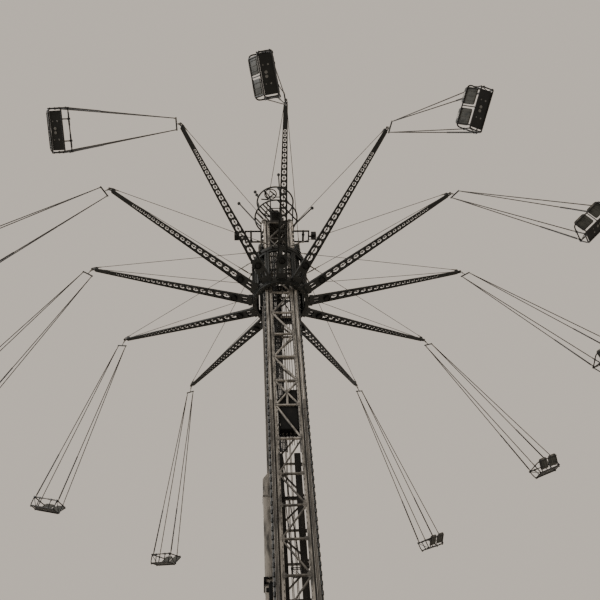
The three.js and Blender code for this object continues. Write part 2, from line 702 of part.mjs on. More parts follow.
// Hanger: eye, link and spreader bar, with two cables from each end of the bar
function hanger(trail, twist) {
  const eye = ring(BORE_RADIUS, EYE_RADIUS, -EYE_THICK / 2, EYE_THICK / 2, 8);
  eye.rotateX(Math.PI / 2);
  eye.rotateZ(-trail);
  const link = bar(new THREE.Vector3(0, 0, -25), new THREE.Vector3(0, 0, -LINK_LENGTH), 15, 4);
  const spreaderEnd = new THREE.Vector3(SPREADER_HALF + 20, 0, 0);
  const spreaderMiddle = new THREE.Vector3(0, 0, -LINK_LENGTH);
  const twisted = [bar(
    spreaderMiddle.clone().sub(spreaderEnd), spreaderMiddle.clone().add(spreaderEnd), SPREADER_RADIUS, 6)];
  for (const side of [-1, 1]) {
    for (const [forward, radius] of [[FRONT_ANCHOR, SLEEVE_RADIUS], [REAR_ANCHOR, CABLE_RADIUS]]) {
      const start = new THREE.Vector3(side * SPREADER_HALF, 0, -LINK_LENGTH);
      const target = cableTarget(side, forward);
      const along = target.clone().sub(start).normalize();
      const end = target.clone().addScaledVector(along, -CABLE_TIP_GAP);
      const sleeveTop = end.clone().addScaledVector(along, -SLEEVE_LENGTH);
      twisted.push(bar(start, radius > CABLE_RADIUS ? sleeveTop : end, CABLE_RADIUS, 4));
      if (radius > CABLE_RADIUS) {
        twisted.push(bar(sleeveTop.addScaledVector(along, -10), end, radius, 4));
      }
    }
  }
  const turn = new THREE.Matrix4().makeRotationZ(twist);
  return fused([eye, link, ...twisted.map((piece) => placed(piece, turn))]);
}

// An outline whose corners are each cut off by a straight bevel
function bevelled(corners, bevel) {
  return corners.flatMap((corner, index) => {
    const before = corners[(index + corners.length - 1) % corners.length].clone().sub(corner).normalize();
    const after = corners[(index + 1) % corners.length].clone().sub(corner).normalize();
    return [corner.clone().addScaledVector(before, bevel), corner.clone().addScaledVector(after, bevel)];
  });
}

// An anticlockwise outline with every side moved inward by a distance
function inset(corners, distance) {
  const sides = corners.map((corner, index) => {
    const next = corners[(index + 1) % corners.length];
    const along = next.clone().sub(corner).normalize();
    const inward = new THREE.Vector2(-along.y, along.x);
    return { point: corner.clone().addScaledVector(inward, distance), along };
  });
  return corners.map((corner, index) => {
    const one = sides[(index + corners.length - 1) % corners.length];
    const two = sides[index];
    const between = two.point.clone().sub(one.point);
    const share = between.cross(two.along) / one.along.cross(two.along);
    return one.point.clone().addScaledVector(one.along, share);
  });
}

// An outline in the chair's forward and up directions, extruded across the chair
function across(points, from, to) {
  const shape = new THREE.Shape(points);
  const geometry = new THREE.ExtrudeGeometry(shape, { depth: to - from, bevelEnabled: false });
  geometry.rotateX(Math.PI / 2);
  geometry.rotateZ(Math.PI / 2);
  geometry.translate(from, 0, 0);
  return geometry;
}

// Side frame: armrest, front, pan rail and back, with an upright from the pan rail to the armrest
function sideFrame(side) {
  const middle = FRONT_TOP.clone().lerp(REAR_TOP, (FRONT_TOP.x - REAR_ANCHOR) / (FRONT_TOP.x - REAR_TOP.x));
  const [inner, outer] = [side * SIDE_AT - TUBE / 2, side * SIDE_AT + TUBE / 2];
  const outside = bevelled(inset(FRAME_CORNERS, -TUBE / 2), FRAME_BEND);
  const frontHole = inset([FRONT_TOP, middle, REAR_LOW, FRONT_LOW], TUBE / 2);
  const rearHole = inset([middle, REAR_TOP, REAR_LOW], TUBE / 2);
  const holes = [frontHole, rearHole].map((hole) => across(hole, inner - 10, outer + 10));
  return cut(across(outside, inner, outer), holes);
}

// A round cross tube at a forward and up place
function crossTube(place, radius) {
  const from = new THREE.Vector3(-SIDE_AT, place.x, place.y);
  return bar(from, new THREE.Vector3(SIDE_AT, place.x, place.y), radius, 4);
}

// Pan of both seats, and the section of a back that leans on the frame and turns up above it
const PAN_SECTION = outline([[246, 12], [240, -14], [-50, -42], [-58, -16]]);
const BACK_SECTION = outline([[-93, -6], [-283, 221], [-311, 276], [-285, 288], [-259, 236], [-73, 11]]);
const LAP_POST_FOOT = new THREE.Vector2(225, 4);

function chair(twist) {
  const pieces = [
    across(PAN_SECTION, -SHELL_OUTER, SHELL_OUTER),
    crossTube(FRONT_LOW, TUBE / 2), crossTube(REAR_LOW, TUBE / 2), crossTube(REAR_TOP, TUBE / 2),
    crossTube(FRONT_TOP, 14),
    bar(new THREE.Vector3(0, REAR_LOW.x, REAR_LOW.y), new THREE.Vector3(0, REAR_TOP.x, REAR_TOP.y), 13, 4),
  ];
  for (const side of [-1, 1]) {
    pieces.push(sideFrame(side));
    const [from, to] = side > 0 ? [SHELL_INNER, SHELL_OUTER] : [-SHELL_OUTER, -SHELL_INNER];
    pieces.push(across(BACK_SECTION, from, to));
    const post = side * LAP_POST_AT;
    pieces.push(bar(
      new THREE.Vector3(post, LAP_POST_FOOT.x, LAP_POST_FOOT.y),
      new THREE.Vector3(post, FRONT_TOP.x, FRONT_TOP.y), 13, 4));
  }
  const shift = new THREE.Matrix4().makeTranslation(0, 0, -SEAT_DROP);
  return placed(placed(fused(pieces), shift), new THREE.Matrix4().makeRotationZ(twist));
}

function buildStar() {
  const star = group(root, TIP_HEIGHT, STAR_TURN);
  add(star, 'star_hub', starHub(), DARK_STEEL);
  const body = armBody();
  for (const [index, [trail, swingAngle, twist]] of POSES.entries()) {
    const placeAt = group(star, 0, (index * TAU) / ARM_COUNT);
    add(placeAt, numbered('arm', index), fused([body, ...tipFork(trail)]), DARK_STEEL);
    const swing = group(placeAt);
    swing.position.x = ARM_RADIUS;
    swing.quaternion.setFromAxisAngle(new THREE.Vector3(-Math.sin(trail), -Math.cos(trail), 0), swingAngle);
    add(swing, numbered('hanger', index), hanger(trail, twist), ROPE_STEEL);
    add(swing, numbered('chair', index), chair(twist), SEAT_PLASTIC);
  }
}

buildMast();
buildCrown();
buildCarriage();
buildStar();

export default root;
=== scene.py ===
"""Tower swing ride: lattice mast, climbing carriage, turning star and flung-out double chairs.

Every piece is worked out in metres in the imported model's frame, with +Z up the mast, and
rides one of its bodies. The photograph looks up from the -Y side.
"""
import logging
from dataclasses import dataclass, field
from enum import Enum
from math import atan2, cos, hypot, pi, radians, sin, tan
from typing import Sequence

import bpy
import numpy as np
from mathutils import Matrix, Vector


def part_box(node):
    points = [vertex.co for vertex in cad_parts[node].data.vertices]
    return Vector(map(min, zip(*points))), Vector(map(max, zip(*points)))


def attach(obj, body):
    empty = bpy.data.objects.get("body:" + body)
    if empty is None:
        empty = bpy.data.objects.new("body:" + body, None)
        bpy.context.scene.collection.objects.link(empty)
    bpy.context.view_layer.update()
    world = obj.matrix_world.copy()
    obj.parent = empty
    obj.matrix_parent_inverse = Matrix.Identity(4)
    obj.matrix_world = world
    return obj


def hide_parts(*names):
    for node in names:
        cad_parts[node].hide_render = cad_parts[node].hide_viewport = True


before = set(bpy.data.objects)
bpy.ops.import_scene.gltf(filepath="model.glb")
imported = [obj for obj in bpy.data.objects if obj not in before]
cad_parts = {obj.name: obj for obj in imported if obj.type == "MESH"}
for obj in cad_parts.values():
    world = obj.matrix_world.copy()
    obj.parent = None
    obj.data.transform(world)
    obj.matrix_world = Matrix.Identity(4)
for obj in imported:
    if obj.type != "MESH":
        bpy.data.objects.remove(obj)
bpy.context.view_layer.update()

Array = np.ndarray
Point = tuple[float, float, float]

log = logging.getLogger("swing_ride")

ARM_COUNT = 12
STAR_TURN = radians(1.1)
ARM_RADIUS = 6.0
TIP_HEIGHT = 24.4
# Air between a piece and the one that it stands on
AIR = 0.0003
# Where the arms' stays meet the drum's lugs, and half the height between the two on a lug
LUG_RADIUS = 0.916
LUG_HEIGHT = 0.095
STAY_SPLIT = 0.032
# Edges flatter than this are shaded smooth
SHARP_ANGLE = radians(40)
# Each chair's trail behind the radial plane, swing outward and twist, in degrees
POSES = (
    (16.5, 31.8, -8), (17.4, 31.3, -14.3), (13.2, 33.2, -22.4), (14.8, 31.5, -5),
    (16.3, 28.0, 12.6), (17.8, 28.4, 4.9), (16.0, 30.0, 8), (15.0, 32.0, 12),
    (14.6, 33.3, 20.5), (14.4, 31.0, -12.9), (13.1, 32.5, -12.0), (16.1, 32.4, -3.4),
)


# Forms: points, faces and texture coordinates as whole arrays

@dataclass
class Form:
    """Closed surfaces: loops lists the face corners, counts each face's corners, uv is one pair a corner."""

    points: Array
    loops: Array
    counts: Array
    uv: Array

    def moved(self, matrix: Array) -> "Form":
        """The form with its points put through a 4 by 4 matrix."""
        points = self.points @ matrix[:3, :3].T + matrix[:3, 3]
        return Form(points, self.loops, self.counts, self.uv)

    def repeated(self, matrices: Array) -> "Form":
        """Copies of the form, one for each 4 by 4 matrix, joined.

        Args:
            matrices: Placings of the copies, (copies, 4, 4).

        Returns:
            One form that holds every copy.
        """
        matrices = np.asarray(matrices)
        points = np.einsum("kij,nj->kni", matrices[:, :3, :3], self.points) + matrices[:, None, :3, 3]
        steps = np.arange(len(matrices)) * len(self.points)
        loops = (self.loops[None] + steps[:, None]).ravel()
        return Form(points.reshape(-1, 3), loops, np.tile(self.counts, len(matrices)),
                    np.tile(self.uv, (len(matrices), 1)))


def joined(forms: Sequence[Form]) -> Form:
    """Several forms as one."""
    steps = np.cumsum([0] + [len(form.points) for form in forms[:-1]])
    return Form(
        np.concatenate([form.points for form in forms]),
        np.concatenate([form.loops + step for form, step in zip(forms, steps)]),
        np.concatenate([form.counts for form in forms]),
        np.concatenate([form.uv for form in forms]),
    )


def skin(rings: Array, looped: bool = False) -> Form:
    """Surface through closed rings: point (i, j) joins (i, j+1), (i+1, j+1) and (i+1, j).

    Args:
        rings: Points, (stations, around, 3), turning right-handed about the way forward.
        looped: Whether the last ring joins the first; otherwise a flat face closes each end.

    Returns:
        The closed form, with uv as share around and metres along.
    """
    stations, around = rings.shape[:2]
    index = np.arange(stations * around).reshape(stations, around)
    here = index if looped else index[:-1]
    ahead = np.roll(index, -1, axis=0) if looped else index[1:]
    quads = np.stack([here, np.roll(here, -1, 1), np.roll(ahead, -1, 1), ahead], axis=-1)
    middle = rings.mean(axis=1)
    steps = np.linalg.norm(np.roll(middle, -1, axis=0) - middle, axis=1)
    along = np.concatenate([[0.0], np.cumsum(steps)])
    share = np.arange(around + 1) / around
    i, j = np.indices(here.shape)
    u = np.stack([share[j], share[j + 1], share[j + 1], share[j]], axis=-1)
    v = np.stack([along[i], along[i], along[i + 1], along[i + 1]], axis=-1)
    uv = np.stack([u, v], axis=-1).reshape(-1, 2)
    loops = quads.ravel()
    counts = np.full(quads.size // 4, 4)
    if not looped:
        loops = np.concatenate([loops, index[0][::-1], index[-1]])
        counts = np.concatenate([counts, [around, around]])
        uv = np.concatenate([uv, np.zeros((2 * around, 2))])
    return Form(rings.reshape(-1, 3), loops, counts, uv)


def circle(radius: float, sides: int) -> Array:
    """Points (radius cos a, radius sin a) round a circle."""
    angle = np.arange(sides) * 2 * pi / sides
    return np.stack([radius * np.cos(angle), radius * np.sin(angle)], axis=1)


def oblong(width: float, height: float, corner: float, steps: int = 1) -> Array:
    """Rounded rectangle about the origin: each corner is a quarter circle of steps + 1 points."""
    quarter = np.arange(4)[:, None] * pi / 2 + np.linspace(0, pi / 2, steps + 1)[None]
    centre = np.array([[1, 1], [-1, 1], [-1, -1], [1, -1]]) * [width / 2 - corner, height / 2 - corner]
    points = centre[:, None] + corner * np.stack([np.cos(quarter), np.sin(quarter)], axis=-1)
    return points.reshape(-1, 2)


def swept(path: Sequence, profile: Array, up: Point = (0, 0, 1), scale: Array | float = 1.0,
          looped: bool = False) -> Form:
    """Profile carried along a path: point = path + side * profile x + lift * profile y.

    Args:
        path: Stations, (n, 3).
        profile: Outline, (m, 2), counter-clockwise.
        up: Direction that the profile's y axis keeps nearest to.
        scale: One factor, or one a station, or one pair a station.
        looped: Whether the path closes on itself.

    Returns:
        The closed form.
    """
    path = np.asarray(path, dtype=float)
    if looped:
        tangent = np.roll(path, -1, axis=0) - np.roll(path, 1, axis=0)
    else:
        tangent = np.gradient(path, axis=0)
    tangent /= np.linalg.norm(tangent, axis=1, keepdims=True)
    lift = np.asarray(up, dtype=float) - (tangent @ np.asarray(up, dtype=float))[:, None] * tangent
    lift /= np.linalg.norm(lift, axis=1, keepdims=True)
    side = np.cross(lift, tangent)
    factor = np.asarray(scale, dtype=float)
    if factor.ndim < 2:
        factor = np.broadcast_to(factor, len(path))[:, None]
    shape = np.asarray(profile)[None] * factor[:, None, :]
    rings = path[:, None] + side[:, None] * shape[..., :1] + lift[:, None] * shape[..., 1:]
    return skin(rings, looped)


def any_up(start: Array, end: Array) -> Point:
    """A direction well away from the line between two points: Z, or Y where the line is steep."""
    steep = 0.8
    along = np.abs(np.asarray(end, dtype=float) - np.asarray(start, dtype=float))
    return (0, 0, 1) if along[2] < steep * np.linalg.norm(along) else (0, 1, 0)


def rod(start: Sequence, end: Sequence, radius: float, sides: int = 10) -> Form:
    """Round bar between two points."""
    return swept([start, end], circle(radius, sides), any_up(start, end))


def spindle(start: Sequence, way: Sequence, steps: Sequence[tuple[float, float]], sides: int = 16) -> Form:
    """Turned piece: circles of the given radii at distances from start along a way.

    Args:
        start: Point that the distances count from.
        way: Direction of the axis.
        steps: Distance and radius of each circle.
        sides: Points round each circle.

    Returns:
        The closed form.
    """
    start, way = np.asarray(start, dtype=float), np.asarray(way, dtype=float)
    way = way / np.linalg.norm(way)
    distance, radius = np.array(steps, dtype=float).T
    path = start + distance[:, None] * way
    lift = np.asarray(any_up(start, start + way), dtype=float)
    lift = lift - (lift @ way) * way
    lift /= np.linalg.norm(lift)
    side = np.cross(lift, way)
    shape = circle(1.0, sides)
    rings = path[:, None] + radius[:, None, None] * (shape[:, :1] * side + shape[:, 1:] * lift)[None]
    return skin(rings)


def ball(centre: Sequence, radius: float, sides: int = 16) -> Form:
    """Sphere as a turned piece whose radius is sin t at height cos t, with a small flat at each pole."""
    pole = 0.12
    steps = [(-radius * cos(t), radius * sin(t)) for t in np.linspace(pole, pi - pole, sides // 2)]
    return spindle(centre, (0, 0, 1), steps, sides)


def ringed(profile: Sequence, sides: int = 72) -> Form:
    """Closed outline of radius and height turned about Z."""
    outline = np.array(profile, dtype=float)[::-1]
    angle = np.arange(sides)[:, None] * 2 * pi / sides
    radius, height = outline[None, :, 0], outline[None, :, 1]
    rings = np.stack([radius * np.cos(angle), radius * np.sin(angle), height + 0 * angle], axis=-1)
    return skin(rings, looped=True)


def block(low: Sequence, high: Sequence, corner: float = 0.004) -> Form:
    """Box with its edges cut by small chamfers."""
    low, high = np.asarray(low, dtype=float), np.asarray(high, dtype=float)
    size = high - low
    corner = min(corner, size.min() * 0.3)
    middle = (low + high) / 2
    heights = [low[2], low[2] + corner, high[2] - corner, high[2]]
    path = [(middle[0], middle[1], height) for height in heights]
    inner = 1 - 2 * corner / size[:2]
    scale = np.array([inner, [1, 1], [1, 1], inner])
    rings = np.array(path)[:, None] + np.pad(oblong(size[0], size[1], corner), ((0, 0), (0, 1)))[None] * \
        np.pad(scale, ((0, 0), (0, 1)))[:, None]
    return skin(rings)


def bent(corners: Sequence, radius: float, steps: int = 5, closed: bool = True) -> Array:
    """Path with its corners rounded: p = (1-t)^2 before + 2t(1-t) corner + t^2 after.

    Args:
        corners: Corner points, (n, 3).
        radius: Distance from a corner to where its curve starts.
        steps: Points in each curve.
        closed: Whether the last corner leads back to the first.

    Returns:
        The rounded path's points.
    """
    corners = np.asarray(corners, dtype=float)
    before = np.roll(corners, 1, axis=0) - corners
    after = np.roll(corners, -1, axis=0) - corners
    before = corners + before / np.linalg.norm(before, axis=1, keepdims=True) * radius
    after = corners + after / np.linalg.norm(after, axis=1, keepdims=True) * radius
    t = np.linspace(0, 1, steps)[None, :, None]
    curve = (1 - t) ** 2 * before[:, None] + 2 * t * (1 - t) * corners[:, None] + t ** 2 * after[:, None]
    if closed:
        return curve.reshape(-1, 3)
    inner = curve[1:-1].reshape(-1, 3)
    return np.concatenate([corners[:1], inner, corners[-1:]])


def turn(angle: float, axis: str = "Z") -> Array:
    """Turning by an angle about one of the axes."""
    return np.array(Matrix.Rotation(angle, 4, axis))


def shift(x: float, y: float, z: float) -> Array:
    """Move by a distance along each axis."""
    return np.array(Matrix.Translation((x, y, z)))


def shifts(points: Sequence) -> Array:
    """A move to each of several points."""
    points = np.asarray(points, dtype=float)
    made = np.tile(np.eye(4), (len(points), 1, 1))
    made[:, :3, 3] = points
    return made


def rises(first: float, pitch: float, count: int) -> Array:
    """Moves up Z at even steps, from a first height."""
    return shifts([(0, 0, first + pitch * index) for index in range(count)])


def turns(count: int, first: float = 0.0) -> Array:
    """Even turns about Z, the first by the given angle."""
    return np.array([turn(first + 2 * pi * index / count) for index in range(count)])


def span(side: int, inner: float, outer: float) -> tuple[float, float]:
    """The stretch between two distances from the middle on side -1 or 1, lower end first."""
    return min(side * inner, side * outer), max(side * inner, side * outer)


def bolts(points: Sequence, way: Sequence, size: float = 0.012) -> Form:
    """Hexagon heads on washers that stand on the given points."""
    washer = spindle((0, 0, 0), way, [(-0.002, size), (size * 0.25, size)], 10)
    head = spindle((0, 0, 0), way, [(0, size * 0.8), (size * 0.8, size * 0.8), (size, size * 0.6)], 6)
    return joined([washer, head]).repeated(shifts(points))


# Finishes

def linear(code: str) -> tuple[float, float, float, float]:
    """An sRGB hex colour as linear red, green, blue and alpha."""
    values = np.array([int(code[i:i + 2], 16) / 255 for i in (1, 3, 5)])
    low, high = values / 12.92, ((values + 0.055) / 1.055) ** 2.4
    red, green, blue = np.where(values <= 0.04045, low, high)
    return float(red), float(green), float(blue), 1.0


def add_node(tree: bpy.types.NodeTree, kind: str, settings: dict | None = None, links: dict | None = None,
             **inputs: object) -> bpy.types.Node:
    """Adds a node to a tree.

    Args:
        tree: Node tree.
        kind: Node type without its ShaderNode prefix.
        settings: Attributes of the node.
        links: Sockets to join, by the name or number of the input.
        inputs: Input values, with _ for a space in the name.

    Returns:
        The node.
    """
    made = tree.nodes.new("ShaderNode" + kind)
    for name, value in (settings or {}).items():
        setattr(made, name, value)
    for name, value in inputs.items():
        made.inputs[name.replace("_", " ")].default_value = value
    for name, socket in (links or {}).items():
        tree.links.new(made.inputs[name], socket)
    return made


@dataclass(frozen=True)
class Finish:
    """A finish: its colours, gloss and the real size of its pattern.

    The surface mixes two colours by soft patches, which a streak above 1 draws out along Z, and
    carries a small bump from its grain.
    """

    name: str
    colour: str
    patch: str
    roughness: float
    metallic: float = 0.0
    ior: float = 1.5
    patch_mm: float = 400.0
    streak: float = 1.0  # how many times longer the patches are along Z
    cover: float = 0.5  # share of the surface that the second colour takes
    grain_mm: float = 6.0
    grain_depth_mm: float = 0.15
    twist: bool = False  # strands laid round a rope
    specular: float = 0.5  # lower where dust or a matt skin takes the shine off

    def material(self) -> bpy.types.Material:
        """The finish as a Blender material, made once."""
        found = bpy.data.materials.get(self.name)
        if found:
            return found
        made = bpy.data.materials.new(self.name)
        made.use_nodes = True
        tree = made.node_tree
        tree.nodes.clear()
        place = add_node(tree, "TexCoord")
        stretched = add_node(tree, "Mapping", links={"Vector": place.outputs["Object"]},
                             Scale=(1, 1, 1 / self.streak))
        patches = add_node(tree, "TexNoise", links={"Vector": stretched.outputs[0]},
                           Scale=1000 / self.patch_mm, Detail=6.0, Roughness=0.62)
        # Noise values sit about 0.5, so a cover of none to all moves the edge from 0.62 to 0.32
        edge, softness = 0.62 - 0.3 * self.cover, 0.22
        mask = add_node(tree, "MapRange", links={0: patches.outputs[0]}, From_Min=edge,
                        From_Max=edge + softness)
        tint = add_node(tree, "Mix", {"data_type": "RGBA"}, {0: mask.outputs[0]})
        tint.inputs[6].default_value = linear(self.colour)
        tint.inputs[7].default_value = linear(self.patch)
        shinier, duller = 0.1, 0.15
        gloss = add_node(tree, "MapRange", links={0: patches.outputs[0]},
                         To_Min=max(self.roughness - shinier, 0.05), To_Max=min(self.roughness + duller, 1.0))
        if self.twist:
            height = self.strands(tree, place)
        else:
            height = add_node(tree, "TexNoise", links={"Vector": place.outputs["Object"]},
                              Scale=1000 / self.grain_mm, Detail=3.0)
        bump = add_node(tree, "Bump", links={"Height": height.outputs[0]},
                        Distance=self.grain_depth_mm / 1000)
        shader = add_node(tree, "BsdfPrincipled", links={
            "Base Color": tint.outputs[2], "Roughness": gloss.outputs[0], "Normal": bump.outputs[0]},
            Metallic=self.metallic, IOR=self.ior, Specular_IOR_Level=self.specular)
        add_node(tree, "OutputMaterial", links={"Surface": shader.outputs[0]})
        return made

    def strands(self, tree: bpy.types.NodeTree, place: bpy.types.Node) -> bpy.types.Node:
        """Bands that wind round a rope: six strands, one turn in 90 mm of length."""
        count, lay = 6.0, 0.09
        laid = add_node(tree, "Mapping", links={"Vector": place.outputs["UV"]},
                        Scale=(count, count / lay, 1.0))
        return add_node(tree, "TexWave", {"bands_direction": "DIAGONAL"}, {"Vector": laid.outputs[0]},
                        Scale=0.5, Distortion=0.0)


class Coat(Enum):
    """The finishes that the ride has."""

    # Alkyd enamel, sprayed: near black with a soft gloss that dust has dulled
    DARK_ENAMEL = Finish("sprayed_alkyd_enamel", "#10110f", "#20211e", 0.55, patch_mm=260,
                         specular=0.3)
    # Two-part paint on hot-rolled steel: dark grey, rain-streaked down the mast's lower length
    MAST_PAINT = Finish("weathered_mast_paint", "#524e48", "#22201d", 0.62, patch_mm=120, streak=7.0,
                        cover=0.7, grain_mm=12, grain_depth_mm=0.4)
    # The same paint on the upper length: mid grey, with fewer streaks
    UPPER_PAINT = Finish("grey_mast_paint", "#a09a91", "#403d38", 0.6, patch_mm=120, streak=7.0,
                         cover=0.55, grain_mm=12, grain_depth_mm=0.4)
    # The same paint where it's newer: pale and flat
    PALE_PAINT = Finish("pale_lattice_paint", "#827d75", "#34322e", 0.6, patch_mm=110, streak=5.0, cover=0.65)
    # Pale paint at the mast's head, made near white by painted sunlight, with grey runs
    SUNLIT_HEAD_PAINT = Finish("pale_head_paint_painted_sunlight", "#bab2a7", "#6f685f", 0.7, patch_mm=150, streak=4.0, cover=0.4)
    # Bitumen primer, flat and dark, on the guides and the head cap; on the chords and the lattice sides the
    # same dark coat is painted shade in grooves, slits, notches and on inner faces
    PRIMER_AND_SHADE = Finish("bitumen_primer_and_painted_shade", "#23211e", "#33302b", 0.8, patch_mm=260, streak=5.0, specular=0.25)
    # Hot-dip galvanising: dull silver with cloudy spangle
    ZINC = Finish("hot_dip_zinc", "#6f6c66", "#4d4a45", 0.5, metallic=0.9, patch_mm=25, grain_mm=8)
    # Stranded steel rope, greased: dark and finely ribbed
    WIRE_ROPE = Finish("greased_wire_rope", "#2c2823", "#1b1916", 0.55, metallic=0.6, patch_mm=300,
                       grain_depth_mm=1.2, twist=True)
    # Extruded PVC hose over a cable: black with a faint shine
    HOSE = Finish("extruded_pvc_hose", "#141210", "#211e1b", 0.5, patch_mm=120, grain_mm=4)
    # Moulded polypropylene: near black, fine leathery grain
    SEAT_SHELL = Finish("moulded_polypropylene", "#0b0c0b", "#171816", 0.5, patch_mm=220, grain_mm=3,
                        grain_depth_mm=0.25, specular=0.25)
    # The seat backs' thinner moulding: charcoal, the pan's black made paler as painted sunlight, with darker
    # patches
    SUNLIT_SEAT_BACK = Finish("seat_moulding_painted_sunlight", "#353530", "#161715", 0.55, patch_mm=110, grain_mm=3,
                       grain_depth_mm=0.25, specular=0.3)
    # Powder-coated tube: even black, slight orange peel
    TUBE_COAT = Finish("powder_coated_tube", "#0f0e0d", "#1b1917", 0.42, patch_mm=150, grain_mm=5,
                       specular=0.3)
    # Rubber and black-lacquered housings: matt black
    RUBBER = Finish("matt_black_rubber", "#0b0b0a", "#151412", 0.8, patch_mm=160, specular=0.15)
    # Acrylic lamp lens: smoky, glossy
    LENS = Finish("acrylic_lens", "#0a0a09", "#141311", 0.3, ior=1.49, patch_mm=60, grain_depth_mm=0.05,
                  specular=0.15)
    # Moulded polycarbonate lamp cap: grey and frosted
    CAP = Finish("frosted_polycarbonate", "#504f4c", "#373633", 0.4, ior=1.58, patch_mm=30)


Dressed = list[tuple[Form, Coat]]


def moved_all(parts: Dressed, placing: Array) -> Dressed:
    """Dressed forms put through one 4 by 4 matrix."""
    return [(form.moved(placing), coat) for form, coat in parts]


def repeated_all(parts: Dressed, placings: Array) -> Dressed:
    """Dressed forms copied once for each 4 by 4 matrix."""
    return [(form.repeated(placings), coat) for form, coat in parts]


def piece(name: str, body: str, parts: Dressed, replaces: Sequence[str] = ()) -> None:
    """Makes one object of several dressed forms and puts it on a body.

    Args:
        name: Object's name.
        body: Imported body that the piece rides.
        parts: Forms with their coats.
        replaces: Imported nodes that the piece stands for.
    """
    coats = list(dict.fromkeys(coat for _, coat in parts))
    whole = joined([form for form, _ in parts])
    mesh = bpy.data.meshes.new(name)
    mesh.vertices.add(len(whole.points))
    mesh.vertices.foreach_set("co", whole.points.astype(np.float32).ravel())
    mesh.loops.add(len(whole.loops))
    mesh.loops.foreach_set("vertex_index", whole.loops.astype(np.int32))
    mesh.polygons.add(len(whole.counts))
    starts = np.concatenate([[0], np.cumsum(whole.counts)[:-1]])
    mesh.polygons.foreach_set("loop_start", starts.astype(np.int32))
    numbers = np.concatenate([np.full(len(form.counts), coats.index(coat)) for form, coat in parts])
    mesh.polygons.foreach_set("material_index", numbers.astype(np.int32))
    mesh.polygons.foreach_set("use_smooth", np.ones(len(whole.counts), dtype=bool))
    mesh.update(calc_edges=True)
    mesh.validate()
    mesh.uv_layers.new(name="UVMap").data.foreach_set("uv", whole.uv.astype(np.float32).ravel())
    mesh.set_sharp_from_angle(angle=SHARP_ANGLE)
    for coat in coats:
        mesh.materials.append(coat.value.material())
    made = bpy.data.objects.new(name, mesh)
    bpy.context.scene.collection.objects.link(made)
    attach(made, body)
    if replaces:
        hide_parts(*replaces)
    log.info("%s: %d faces on %s", name, len(whole.counts), body)


# Mast

